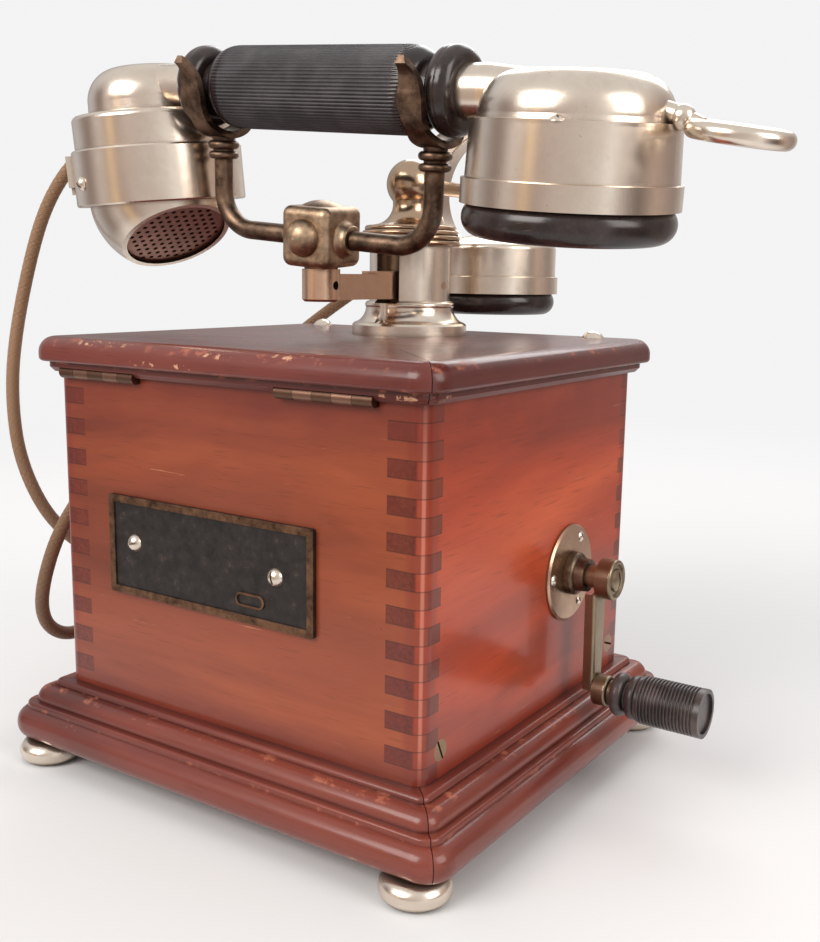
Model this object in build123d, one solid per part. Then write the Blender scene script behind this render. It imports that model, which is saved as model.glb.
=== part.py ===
from build123d import *
import math
import os

# A magneto desk telephone: a finger-jointed mahogany box on four bun feet, with a
# hand crank on its right side, a turned column with a handset cradle on its lid,
# a handset, and a second receiver that hangs from an arm behind the column.
# Millimetres, +Z up, +X towards the crank, -Y towards the nameplate.
# The shapes are drawn about the middle of the box, with the table at height 0. At the
# end all are moved together, to put the origin under the middle of the whole telephone.

# Box
BOX_W = 153.0
BOX_D = 140.0
BOX_H = 112.0
SIDE_WALL = 13.0
FRONT_WALL = 9.0
ARRIS = 4.5
FOOT_H = 8.0
FOOT_WAIST_R = 7.0
FOOT_X = 80.0
FOOT_Y = 77.0
BASE_H = 21.0
BASE_OVERHANG = 16.5
BASE_CORNER = 10.0
BOARD_T = 11.0
LID_T = 12.0
LID_OVERHANG = 7.0
LID_CORNER = 9.0
LID_FRAME = 29.0
SAW_KERF = 0.2
FINGERS = 21

BASE_Z = FOOT_H
BOX_Z = BASE_Z + BASE_H
WALL_Z = BASE_Z + BOARD_T
LID_Z = BOX_Z + BOX_H
LID_TOP = LID_Z + LID_T
FINGER = BOX_H / FINGERS

# Hinges: two butt hinges along the top of the front panel
HINGE_Y = -BOX_D / 2 - 1.5
HINGE_LENGTH = 36.0
HINGE_CENTRES = (-BOX_W / 2 + 22.8, BOX_W / 2 - 34.0)
KNUCKLES = 5
KNUCKLE_R = 2.1
HINGE_PIN_R = 0.9
LEAF_T = 1.2
LEAF_D = 9.5

# Crank and magneto
CRANK_Y = 22.0
CRANK_Z = 74.0
CRANK_SHAFT_R = 4.0
RUNNING_GAP = 0.05
CRANK_REACH = 40.0
ARM_X = BOX_W / 2 + 13.0
ARM_T = 4.0
GRIP_R = 8.3
GRIP_START = BOX_W / 2 + 25.0
GRIP_LENGTH = 27.0
GRIP_PIN_R = 2.5
GEAR_TEETH = 44
PINION_TEETH = 12
MODULE = 1.0
GEAR_X = 44.0
GEAR_T = 6.0
ARMATURE_Z = CRANK_Z - MODULE * (GEAR_TEETH + PINION_TEETH) / 2
ARMATURE_R = 9.0
MAGNET_INNER = 14.0
MAGNET_T = 9.0
MAGNET_X = (-27.0, -5.5, 16.0)
MAGNET_DEPTH = 20.0
PLATE_X = (-33.0, 38.0)
PLATE_T = 3.0

# Column on the lid
COLUMN_Y = 34.0
TUBE_R = 15.3
TUBE_BORE = 12.7
TUBE_TOP = 33.0
SLOT_W = 10.0
PIVOT_H = 18.5
PIVOT_PIN_R = 1.5
BALL_H = 55.7
BALL_R = 9.2

# Hook lever and the cradle on its end
LEVER_W = 7.0
LEVER_H = 10.0
SOCKET_Y = -20.0
SOCKET_R = 6.5
SOCKET_H = (13.0, 24.0)
HEAD_TILT = 5.0
HEAD_LEAN = 5.0
CUBE = 20.0
CUBE_H = 11.0
FORK_R = 3.2
FORK_H = 10.5
FORK_HALF = 44.2
FORK_BEND = 13.0
HANDLE_H = 58.0
SADDLE_GAP = 0.3

# Handset
GRIP_BODY_R = 13.5
GRIP_BODY_HALF = 42.0
GRIP_DOME = 7.5
HANDLE_TUBE_R = 5.0
BEAD_X = 50.5
BEAD_R = 13.4
BEAD_HALF = 4.4
NECK_R = 7.2
RECEIVER_NECK_R = 8.2
RECEIVER_TOP = 6.4
RECEIVER_X = 91.0
TRANSMITTER_X = -86.4
TRANSMITTER_Y = 6.0
TRANSMITTER_TILT = 7.0
BAND_R = 31.2
GLAND_TURN = -14.0
MOUTH_SLOPE = 32.0
MOUTH_TURN = -20.0
MOUTH_TOP = (26.3, -43.8)

# Second receiver on the rear arm
AUX_Y = 97.0
AUX_RING_H = 56.0
AUX_RING_R = 30.0
AUX_RING_T = 5.0
ARM_R = 2.8

# Fittings on the box and the lid
BUSH_R = 7.5
GLAND_R = 4.2
GLAND_LENGTH = 6.0
NAMEPLATE = (89.0, 34.0, 1.6)
NAMEPLATE_X = -6.5
NAMEPLATE_Z = 84.0
NAMEPLATE_SCREWS = ((-39.2, 85.3), (22.7, 83.7))
ESCUTCHEON_R = 17.0
ESCUTCHEON_T = 1.4
ESCUTCHEON_SCREWS = [
    (CRANK_Y + 13.4 * math.cos(a), CRANK_Z + 13.4 * math.sin(a))
    for a in (math.radians(60), math.radians(180), math.radians(300))
]
PANEL_SCREWS = ((-59.6, 37.5), (59.6, 37.5))
LID_SCREWS = ((-66.0, 64.0), (62.0, 66.0))
PLUNGER_Y = COLUMN_Y + 5.2
PLUNGER_R = 1.6
COLUMN_FOOT_R = 21.8

# Cloth-covered cords
CORD_D = 5.2
HANDSET_GLAND = (-BOX_W / 2, 42.0, 48.0)
AUX_GLAND = (-BOX_W / 2, -2.0, 46.0)
HANDSET_CORD_UP = [
    (-129.5, -11.0, 221.5),
    (-135.0, -16.5, 213.5),
    (-139.4, -22.5, 200.5),
    (-142.11, -27.48, 184.6),
    (-144.0, -30.0, 172.0),
]
HANDSET_CORD_DOWN = [
    (-144.0, -30.0, 172.0),
    (-147.0, -34.0, 152.0),
    (-147.0, -38.0, 124.0),
    (-140.0, -40.0, 96.0),
    (-127.0, -34.0, 70.0),
    (-114.0, -14.0, 54.0),
    (-107.0, 8.0, 50.0),
    (-102.5, 23.0, 49.0),
    (-98.0, 35.0, 48.5),
    (-91.0, 42.0, 48.0),
]
AUX_CORD_UP = [
    (-44.0, 97.0, 181.0),
    (-58.0, 95.0, 175.0),
    (-70.0, 90.0, 166.0),
]
AUX_CORD_DOWN = [
    (-70.0, 90.0, 166.0),
    (-85.0, 83.75, 154.75),
    (-95.0, 66.0, 139.0),
    (-96.0, 34.0, 125.0),
    (-94.0, -4.0, 113.0),
    (-95.0, -36.0, 101.0),
    (-99.0, -54.0, 80.0),
    (-102.0, -62.0, 56.0),
    (-105.0, -59.0, 41.0),
    (-106.0, -48.0, 33.0),
    (-106.0, -35.0, 34.0),
    (-104.0, -21.0, 39.0),
    (-100.0, -9.0, 43.5),
    (-92.0, -2.0, 46.0),
]


# ---------- building blocks ----------

def span(x, y, z):
    """A box from its low and high limits along each axis."""
    size = [b - a for a, b in (x, y, z)]
    middle = [(a + b) / 2 for a, b in (x, y, z)]
    return Pos(*middle) * Box(*size)


def outline(start, moves):
    """A closed face: a move is an end point, or a pair of a middle and an end point for an arc."""
    edges = []
    here = start
    for move in moves:
        if isinstance(move[0], tuple):
            edges.append(ThreePointArc(here, move[0], move[1]))
            here = move[1]
        else:
            edges.append(Line(here, move))
            here = move
    if here != start:
        edges.append(Line(here, start))
    return make_face(edges)


def turned(start, *moves):
    """A solid of revolution about Z from an outline of (radius, height) points."""
    return revolve(Plane.XZ * outline(start, moves), Axis.Z)


def cap_arc(radius, low, high):
    """The arc of a spherical cap, from its rim up or down to its pole on the axis."""
    rise = high - low
    sphere_r = (radius ** 2 + rise ** 2) / (2 * abs(rise))
    centre = high - math.copysign(sphere_r, rise)
    half = math.atan2(radius, (low - centre) * math.copysign(1, rise)) / 2
    middle = (sphere_r * math.sin(half), centre + math.copysign(sphere_r, rise) * math.cos(half))
    return (middle, (0, high))


def rod(start, end, radius):
    """A round bar between two points."""
    a = Vector(*start)
    b = Vector(*end)
    return extrude(Plane(a, z_dir=b - a) * Circle(radius), (b - a).length)


def drum(radius, low, high):
    """An upright round bar between two heights."""
    return Pos(0, 0, (low + high) / 2) * Cylinder(radius, high - low)


def slab(width, depth, corner, low, high):
    """An upright slab with rounded plan corners."""
    return Pos(0, 0, low) * extrude(RectangleRounded(width, depth, corner), high - low)


def rim(solid, height):
    """The edges that lie at one height."""
    return solid.edges().filter_by_position(Axis.Z, height - 0.01, height + 0.01)


def on_right(shape, y=0.0, z=0.0, x=0.0):
    """Turns a shape built up along Z so that it stands out along +X."""
    return Pos(x, y, z) * Rot(0, 90, 0) * shape


def on_front(shape, x=0.0, y=0.0, z=0.0):
    """Turns a shape built up along Z so that it stands out along -Y."""
    return Pos(x, y, z) * Rot(90, 0, 0) * shape


def slotted_screw(head_r, head_h, shank_r, length, domed=True, turn=0.0):
    """A wood or machine screw, its head's seat at height 0 and its shank below."""
    if domed:
        head = turned((0, 0), (head_r, 0), cap_arc(head_r, 0, head_h))
    else:
        head = turned((0, -head_h), (shank_r, -head_h), (head_r, 0), (0, 0))
    top = head_h if domed else 0.0
    slot = Pos(0, 0, top) * Box(head_r * 3, head_r * 0.22, head_h * 0.9)
    shank = Pos(0, 0, -length / 2) * Cylinder(shank_r, length)
    return Rot(0, 0, turn) * (head + shank - slot)


def mitred(ring, width, depth, height):
    """Cuts a moulded ring into its four mitred strips with a saw kerf at each corner."""
    for sx in (-1, 1):
        for sy in (-1, 1):
            blade = Rot(0, 0, 45 * sx * sy) * Box(120, SAW_KERF, height * 3)
            ring -= Pos(sx * width / 2, sy * depth / 2, height) * blade
    return ring


def bend_radii(points):
    """For each inner point, the largest arc that its two runs leave room for."""
    radii = []
    for a, b, c in zip(points, points[1:], points[2:]):
        run_in = Vector(*b) - Vector(*a)
        run_out = Vector(*c) - Vector(*b)
        turn = math.radians(run_in.get_angle(run_out))
        shorter = min(run_in.length, run_out.length)
        radii.append(0.45 * shorter / math.tan(turn / 2))
    return radii


def cord_tube(name, points):
    """The solid of a free cord, straight runs joined by tangent arcs."""
    radii = bend_radii(points)
    path = FilletPolyline(*points, radius=radii)
    section = Plane(path @ 0, z_dir=path % 0) * Circle(CORD_D / 2)
    tube = sweep(section, path=path)
    expected = math.pi * CORD_D ** 2 / 4 * path.length
    said = ", ".join(f"{r:.0f}" for r in radii)
    share = tube.volume / expected
    print(f"{name}: length {path.length:.0f}, radii {said}, volume {share:.4f} of section x length")
    return tube


# ---------- box ----------

def base_ring():
    """The plinth: a bullnose, a fine bead, a quarter round and a small step up to the walls."""
    width = BOX_W + 2 * BASE_OVERHANG
    depth = BOX_D + 2 * BASE_OVERHANG
    nose_top = BASE_Z + 11.6
    bead_top = BASE_Z + 13.6
    round_top = BASE_Z + 19.0
    nose = slab(width, depth, BASE_CORNER, BASE_Z, nose_top)
    nose = fillet(rim(nose, nose_top) + rim(nose, BASE_Z), 5.5)
    bead = slab(width - 8, depth - 8, BASE_CORNER - 4, nose_top - 0.5, bead_top)
    bead = fillet(rim(bead, bead_top), 1.0)
    quarter = slab(width - 13, depth - 13, BASE_CORNER - 4, bead_top - 0.5, round_top)
    quarter = fillet(rim(quarter, round_top), 4.8)
    step = slab(width - 24, depth - 24, BASE_CORNER - 6.5, round_top - 0.5, BOX_Z)
    step = fillet(rim(step, BOX_Z), 1.6)
    ring = nose + bead + quarter + step
    return ring - slab(BOX_W, BOX_D, ARRIS, BASE_Z - 1, BOX_Z + 1)


def base_moulding():
    return mitred(base_ring(), BOX_W, BOX_D, BASE_H)


def base_board():
    return slab(BOX_W, BOX_D, ARRIS, BASE_Z, WALL_Z)


def feet():
    """Four turned bun feet."""
    widest = (FOOT_WAIST_R + FOOT_H / 2, FOOT_H / 2)
    bun = turned((0, 0), (FOOT_WAIST_R, 0), (widest, (FOOT_WAIST_R, FOOT_H)), (0, FOOT_H))
    return Compound([Pos(sx * FOOT_X, sy * FOOT_Y, 0) * bun for sx in (-1, 1) for sy in (-1, 1)])


def finger_zones(sides):
    """The corner blocks that the side panels own, or the ones that the front and rear own."""
    zones = []
    for i in range(FINGERS):
        if (i % 2 == 1) == sides:
            zones.append((LID_Z - (i + 1) * FINGER, LID_Z - i * FINGER))
    if sides:
        zones.append((WALL_Z - 1, BOX_Z))
    return zones


def corner_blocks(sides):
    """The finger blocks at all four corners, at the heights of one set of panels."""
    blocks = []
    for low, high in finger_zones(sides):
        for sx in (-1, 1):
            for sy in (-1, 1):
                x = sx * (BOX_W - SIDE_WALL) / 2
                y = sy * (BOX_D - FRONT_WALL) / 2
                block = Box(SIDE_WALL, FRONT_WALL, high - low)
                blocks.append(Pos(x, y, (low + high) / 2) * block)
    return blocks


def hinge_pockets():
    """What the two hinges need cut from the wood around them."""
    pockets = []
    for x in HINGE_CENTRES:
        half = HINGE_LENGTH / 2 + 0.15
        barrel = rod((x - half, HINGE_Y, LID_Z), (x + half, HINGE_Y, LID_Z), KNUCKLE_R + 0.35)
        leaves = span(
            (x - half, x + half),
            (HINGE_Y, HINGE_Y + LEAF_D + 0.1),
            (LID_Z - LEAF_T, LID_Z + LEAF_T),
        )
        pockets += [barrel, leaves]
    return pockets


def box_shell():
    return slab(BOX_W, BOX_D, ARRIS, WALL_Z, LID_Z)


def front_or_rear(side):
    """The front (-1) or rear (1) panel, with its fingers."""
    inner = BOX_D / 2 - FRONT_WALL
    y = sorted((side * inner, side * BOX_D / 2))
    panel = span((-BOX_W / 2, BOX_W / 2), y, (WALL_Z, LID_Z)) & box_shell()
    panel -= corner_blocks(True)
    panel -= panel_screw_spaces()
    if side < 0:
        panel -= hinge_pockets()
        for x, z in NAMEPLATE_SCREWS:
            panel -= on_front(Pos(0, 0, -6) * Cylinder(1.2, 12), x, -BOX_D / 2, z)
    return panel


def side_panel(side):
    """The left (-1) or right (1) panel, with its fingers and its holes."""
    inner = BOX_W / 2 - SIDE_WALL
    x = sorted((side * inner, side * BOX_W / 2))
    panel = span(x, (-BOX_D / 2, BOX_D / 2), (WALL_Z, LID_Z)) & box_shell()
    panel -= corner_blocks(False)
    if side > 0:
        panel -= panel_screw_spaces()
        panel -= on_right(Cylinder(BUSH_R, 60), CRANK_Y, CRANK_Z, BOX_W / 2)
        for y, z in ESCUTCHEON_SCREWS:
            panel -= on_right(Cylinder(0.9, 12), y, z, BOX_W / 2 - 4)
    else:
        for _, y, z in (HANDSET_GLAND, AUX_GLAND):
            panel -= on_right(Cylinder(GLAND_R, 60), y, z, -BOX_W / 2)
    return panel


def panel_screw_spaces():
    return [on_right(Cylinder(3.4, 30), y, z, BOX_W / 2) for y, z in PANEL_SCREWS]


def panel_screws():
    """The countersunk screws that hold the right panel, one at each bottom corner."""
    screws = []
    for turn, (y, z) in zip((25, 70), PANEL_SCREWS):
        screw = slotted_screw(3.4, 2.6, 3.4, 15.0, domed=False, turn=turn)
        screws.append(on_right(screw, y, z, BOX_W / 2))
    return Compound(screws)


def nameplate():
    """A blank plate with a raised rim, a sunk field and an empty number window."""
    width, height, thick = NAMEPLATE
    plate = fillet(Box(width, height, thick).edges().filter_by(Axis.Z), 0.8)
    plate -= Pos(0, 0, thick / 2) * Box(width - 5, height - 5, 1.0)
    window = Pos(19, -9.5, 0) * extrude(SlotOverall(12, 4.6), thick / 2)
    window -= Pos(0, 0, thick / 2) * Pos(19, -9.5, 0) * extrude(SlotOverall(10.4, 3.2), 1, both=True)
    plate += window
    for x, z in NAMEPLATE_SCREWS:
        plate -= Pos(x - NAMEPLATE_X, z - NAMEPLATE_Z, 0) * Cylinder(1.2, 10)
    return on_front(Pos(0, 0, thick / 2) * plate, NAMEPLATE_X, -BOX_D / 2, NAMEPLATE_Z)


def nameplate_screws():
    seat = NAMEPLATE[2] - 0.5
    screws = []
    for turn, (x, z) in zip((15, 100), NAMEPLATE_SCREWS):
        screw = slotted_screw(3.0, 2.0, 1.2, 12.0, turn=turn)
        screws.append(on_front(screw, x, -BOX_D / 2 - seat, z))
    return Compound(screws)


def hinge_leaf(x, upper):
    """One leaf of a hinge with its share of the knuckles."""
    start = x - HINGE_LENGTH / 2
    pitch = HINGE_LENGTH / KNUCKLES
    z = (LID_Z, LID_Z + LEAF_T) if upper else (LID_Z - LEAF_T, LID_Z)
    back = HINGE_Y + LEAF_D
    leaf = span((start, start + HINGE_LENGTH), (HINGE_Y + KNUCKLE_R + 0.3, back), z)
    for i in range(KNUCKLES):
        if (i % 2 == 1) == upper:
            a = start + i * pitch + 0.06
            b = a + pitch - 0.12
            leaf += rod((a, HINGE_Y, LID_Z), (b, HINGE_Y, LID_Z), KNUCKLE_R)
            leaf += span((a, b), (HINGE_Y, back), z)
    gap = RUNNING_GAP if upper else 0.0
    bore = rod((start - 1, HINGE_Y, LID_Z), (start + HINGE_LENGTH + 1, HINGE_Y, LID_Z), HINGE_PIN_R + gap)
    return leaf - bore


def hinge_box_leaves():
    """The lower leaves of both hinges, each with its riveted pin."""
    pieces = []
    for x in HINGE_CENTRES:
        half = HINGE_LENGTH / 2 - 0.1
        pieces.append(hinge_leaf(x, False))
        pieces.append(rod((x - half, HINGE_Y, LID_Z), (x + half, HINGE_Y, LID_Z), HINGE_PIN_R))
    return Compound(pieces)


def hinge_lid_leaves():
    return Compound([hinge_leaf(x, True) for x in HINGE_CENTRES])


def cord_glands():
    """Two turned ferrules in the left panel, one for each cord."""
    ferrule = turned(
        (CORD_D / 2 + 0.05, -SIDE_WALL),
        (GLAND_R, -SIDE_WALL),
        (GLAND_R, 0),
        (6.0, 0),
        ((5.9, 1.5), (4.6, 2.4)),
        (4.2, GLAND_LENGTH),
        (CORD_D / 2 + 0.05, GLAND_LENGTH),
    )
    glands = []
    for x, y, z in (HANDSET_GLAND, AUX_GLAND):
        glands.append(Pos(x, y, z) * Rot(0, -90, 0) * ferrule)
    return Compound(glands)


# ---------- crank and magneto ----------

def escutcheon():
    disc = turned(
        (0, 0),
        (ESCUTCHEON_R, 0),
        (ESCUTCHEON_R, 0.8),
        (ESCUTCHEON_R - 0.8, ESCUTCHEON_T),
        (0, ESCUTCHEON_T),
    )
    disc -= Cylinder(BUSH_R, 10)
    plate = on_right(disc, CRANK_Y, CRANK_Z, BOX_W / 2)
    for y, z in ESCUTCHEON_SCREWS:
        plate -= on_right(Cylinder(0.9, 10), y, z, BOX_W / 2)
    return plate


def escutcheon_screws():
    x = BOX_W / 2 + ESCUTCHEON_T
    screw = slotted_screw(1.9, 0.9, 0.9, 8.0, turn=35)
    return Compound([on_right(screw, y, z, x) for y, z in ESCUTCHEON_SCREWS])


def shaft_bush():
    """The bearing that carries the crank shaft through the right panel."""
    bore = CRANK_SHAFT_R + RUNNING_GAP
    bush = turned(
        (bore, -17.0),
        (BUSH_R, -17.0),
        (BUSH_R, 3.4),
        ((6.9, 4.6), (6.0, 5.0)),
        (5.6, 8.2),
        (bore, 8.2),
    )
    return on_right(bush, CRANK_Y, CRANK_Z, BOX_W / 2)


def toothed_wheel(teeth, thickness, turn):
    """A spur wheel with slim straight-sided teeth, which leave backlash on both flanks."""
    pitch_r = MODULE * teeth / 2
    root_r = pitch_r - 1.15 * MODULE
    half_root = 0.30 * math.pi * MODULE
    half_tip = 0.13 * math.pi * MODULE
    tooth = Polygon(
        (root_r - 0.4, -half_root),
        (pitch_r + 0.75 * MODULE, -half_tip),
        (pitch_r + 0.75 * MODULE, half_tip),
        (root_r - 0.4, half_root),
        align=None,
    )
    face = Circle(root_r) + [Rot(0, 0, turn + 360 / teeth * i) * tooth for i in range(teeth)]
    return extrude(face, thickness)


def crank_shaft():
    """The shaft from the inner magneto plate out to the crank, with its ringed hub and end screw."""
    shaft = rod((PLATE_X[0] - 4, CRANK_Y, CRANK_Z), (ARM_X, CRANK_Y, CRANK_Z), CRANK_SHAFT_R)
    hub = turned(
        (0, 0),
        (7.0, 0),
        (7.0, ARM_T + 0.6),
        ((6.6, ARM_T + 1.6), (5.6, ARM_T + 1.6)),
        (5.2, ARM_T + 0.9),
        (4.0, ARM_T + 0.9),
        (3.6, ARM_T + 1.7),
        cap_arc(3.6, ARM_T + 1.7, ARM_T + 2.7),
    )
    hub -= Pos(0, 0, ARM_T + 2.7) * Box(12, 0.8, 1.4)
    return shaft + on_right(hub, CRANK_Y, CRANK_Z, ARM_X)


def drive_gear():
    wheel = toothed_wheel(GEAR_TEETH, GEAR_T, 0.0)
    wheel += Pos(0, 0, GEAR_T) * Cylinder(8, 8, align=(Align.CENTER, Align.CENTER, Align.MIN))
    wheel -= Cylinder(CRANK_SHAFT_R, 60)
    for i in range(5):
        wheel -= Rot(0, 0, 72 * i) * Pos(13.8, 0, 0) * Cylinder(3.6, 60)
    return on_right(wheel, CRANK_Y, CRANK_Z, GEAR_X)


def crank_arm():
    """The flat arm, tapering down to the pin that the grip turns on."""
    top = CRANK_Z
    low = CRANK_Z - CRANK_REACH
    face = Plane.YZ * Polygon(
        (CRANK_Y - 4.6, top),
        (CRANK_Y + 4.6, top),
        (CRANK_Y + 3.5, low),
        (CRANK_Y - 3.5, low),
        align=None,
    )
    arm = Pos(ARM_X, 0, 0) * extrude(face, ARM_T)
    outer_edges = arm.faces().sort_by(Axis.X)[-1].edges().sort_by(Axis.Y)
    arm = fillet([outer_edges[0], outer_edges[-1]], 1.2)
    foot = turned(
        (0, 0),
        (5.4, 0),
        (5.4, ARM_T),
        ((4.9, ARM_T + 1), (4.2, ARM_T + 1.2)),
        (4.2, 6.4),
        (0, 6.4),
    )
    arm += on_right(foot, CRANK_Y, low, ARM_X)
    arm -= on_right(Cylinder(7.0, 40), CRANK_Y, CRANK_Z, ARM_X)
    pin_start = ARM_X + ARM_T
    pin_end = GRIP_START + GRIP_LENGTH - 2.2
    arm += rod((pin_start, CRANK_Y, low), (pin_end, CRANK_Y, low), GRIP_PIN_R)
    return arm


def crank_grip():
    """The ebonite grip: a ball and a collar, seventeen turned ribs, and a shallow cup in its end."""
    collar = turned(
        (0, -5.2),
        (4.8, -5.2),
        ((7.5, -2.9), (4.9, -0.6)),
        (4.6, 0.3),
        (5.5, 0.3),
        ((7.4, 1.6), (7.4, 3.4)),
        (6.4, 4.6),
        (0, 4.6),
    )
    body = drum(GRIP_R - 0.5, 4.4, GRIP_LENGTH - 1.0)
    grip = collar + body
    ribs = 17
    pitch = (GRIP_LENGTH - 6.6) / ribs
    foot = GRIP_R - 0.55
    half = pitch * 0.4
    rib = turned((foot - 0.65, -half), (foot, -half), ((GRIP_R, 0), (foot, half)), (foot - 0.65, half))
    grip += [Pos(0, 0, 5.2 + pitch * (i + 0.5)) * rib for i in range(ribs)]
    grip += drum(GRIP_R, GRIP_LENGTH - 1.8, GRIP_LENGTH)
    grip -= drum(GRIP_R - 1.5, GRIP_LENGTH - 0.9, GRIP_LENGTH + 3.0)
    grip -= drum(GRIP_PIN_R + RUNNING_GAP, -6.0, GRIP_LENGTH - 1.8)
    return on_right(grip, CRANK_Y, CRANK_Z - CRANK_REACH, GRIP_START)


def magneto_frame():
    """Two brass end plates and the two iron pole pieces that close round the armature."""
    shaft_r = 3.0 + RUNNING_GAP
    pieces = []
    for x in PLATE_X:
        plate = span((x, x + PLATE_T), (CRANK_Y - 26, CRANK_Y + 26), (WALL_Z, 90))
        plate -= rod((x - 1, CRANK_Y, CRANK_Z), (x + 5, CRANK_Y, CRANK_Z), CRANK_SHAFT_R + RUNNING_GAP)
        plate -= rod((x - 1, CRANK_Y, ARMATURE_Z), (x + 5, CRANK_Y, ARMATURE_Z), shaft_r)
        pieces.append(plate)
    x = (PLATE_X[0] + PLATE_T, PLATE_X[1])
    tunnel = rod((x[0] - 1, CRANK_Y, ARMATURE_Z), (x[1] + 1, CRANK_Y, ARMATURE_Z), ARMATURE_R + 0.35)
    for side in (-1, 1):
        y = sorted((CRANK_Y + side * 2.5, CRANK_Y + side * MAGNET_INNER))
        pole = span(x, y, (ARMATURE_Z - 13, ARMATURE_Z + 13))
        pieces.append(pole - tunnel)
    return Compound(pieces)


def magneto_magnets():
    """Three horseshoe magnets side by side, arched over the crank shaft."""
    outer = MAGNET_INNER + MAGNET_T
    arch_z = 78.0
    face = Plane.YZ * (
        Pos(CRANK_Y, arch_z) * Circle(outer)
        + Pos(CRANK_Y, arch_z / 2 + 15) * Rectangle(2 * outer, arch_z - 30)
    )
    face -= Plane.YZ * (
        Pos(CRANK_Y, arch_z) * Circle(MAGNET_INNER)
        + Pos(CRANK_Y, arch_z / 2) * Rectangle(2 * MAGNET_INNER, arch_z)
    )
    magnet = extrude(face, MAGNET_DEPTH)
    return Compound([Pos(x, 0, 0) * magnet for x in MAGNET_X])


def armature():
    """The shuttle armature: a slotted iron core with its winding, shaft and pinion."""
    y = CRANK_Y
    z = ARMATURE_Z
    core = rod((PLATE_X[0] + PLATE_T + 1, y, z), (PLATE_X[1] - 1, y, z), ARMATURE_R)
    for side in (-1, 1):
        core -= span((-60, 60), sorted((y + side * 3.0, y + side * 12)), (z - 4.5, z + 4.5))
        core += span((-28, 36), sorted((y + side * 3.0, y + side * 7.4)), (z - 4.0, z + 4.0))
    core += rod((PLATE_X[0] - 3, y, z), (GEAR_X + GEAR_T + 4, y, z), 3.0)
    half_tooth = 180 / PINION_TEETH
    pinion = on_right(toothed_wheel(PINION_TEETH, GEAR_T, half_tooth * (PINION_TEETH / 2 + 1)), y, z, GEAR_X)
    return core + pinion


def induction_coil():
    """The wound coil between its two square cheeks, on the base board."""
    y = -38.0
    z = WALL_Z + 13.0
    pieces = [span((x, x + 4), (y - 13, y + 13), (WALL_Z, z + 13)) for x in (-44, 30)]
    pieces.append(rod((-40, y, z), (30, y, z), 11))
    return Compound(pieces)


def terminal_strip():
    """A hardwood strip with five brass terminal posts, on the base board."""
    y = -14.0
    block = span((-46, 14), (y - 7, y + 7), (WALL_Z, WALL_Z + 9))
    post = turned((0, 0), (4, 0), (4, 2), (2, 2.4), (2, 6), (4.4, 6.4), (4.4, 9), (0, 9.6))
    posts = [Pos(-40 + 12 * i, y, WALL_Z + 9) * post for i in range(5)]
    return Compound([block] + posts)


# ---------- lid and column ----------

def lid_ring():
    """The lid's frame: a rounded upper edge over a narrower lip."""
    width = BOX_W + 2 * LID_OVERHANG
    depth = BOX_D + 2 * LID_OVERHANG
    step = LID_Z + 3.6
    upper = slab(width, depth, LID_CORNER, step, LID_TOP)
    upper = fillet(rim(upper, LID_TOP), 5.5)
    upper = fillet(rim(upper, step), 1.4)
    lip = slab(width - 7, depth - 7, LID_CORNER - 3.5, LID_Z, step)
    lip = chamfer(rim(lip, LID_Z), 1.6)
    ring = upper + lip
    return ring - slab(BOX_W - 2 * LID_FRAME, BOX_D - 2 * LID_FRAME, 1.0, LID_Z - 1, LID_TOP + 1)


def lid_moulding():
    ring = lid_ring() - hinge_pockets()
    for x, y in LID_SCREWS:
        ring -= Pos(x, y, LID_TOP - 8) * Cylinder(1.6, 20)
    for x, y in column_screw_points():
        ring -= Pos(x, y, LID_TOP) * Cylinder(1.3, 30)
    return mitred(ring, BOX_W, BOX_D, LID_TOP)


def lid_panel():
    panel = slab(BOX_W - 2 * LID_FRAME, BOX_D - 2 * LID_FRAME, 1.0, LID_Z + 2, LID_TOP)
    panel -= Pos(0, PLUNGER_Y, LID_TOP) * Cylinder(2.4, 60)
    for x, y in column_screw_points():
        panel -= Pos(x, y, LID_TOP) * Cylinder(1.3, 30)
    return panel


def column_screw_points():
    """Three screws on a circle through the column's foot."""
    return [
        (18.4 * math.cos(math.radians(a)), COLUMN_Y + 18.4 * math.sin(math.radians(a)))
        for a in (120, 60, 270)
    ]


def lid_screws():
    """The two round-head screws near the lid's rear edge and the three in the column's foot."""
    big = slotted_screw(4.2, 2.6, 1.6, 10.0, turn=20)
    small = slotted_screw(2.2, 1.2, 1.3, 14.0, turn=60)
    screws = [Pos(x, y, LID_TOP) * big for x, y in LID_SCREWS]
    screws += [Pos(x, y, LID_TOP + 4.4) * small for x, y in column_screw_points()]
    return Compound(screws)


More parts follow.
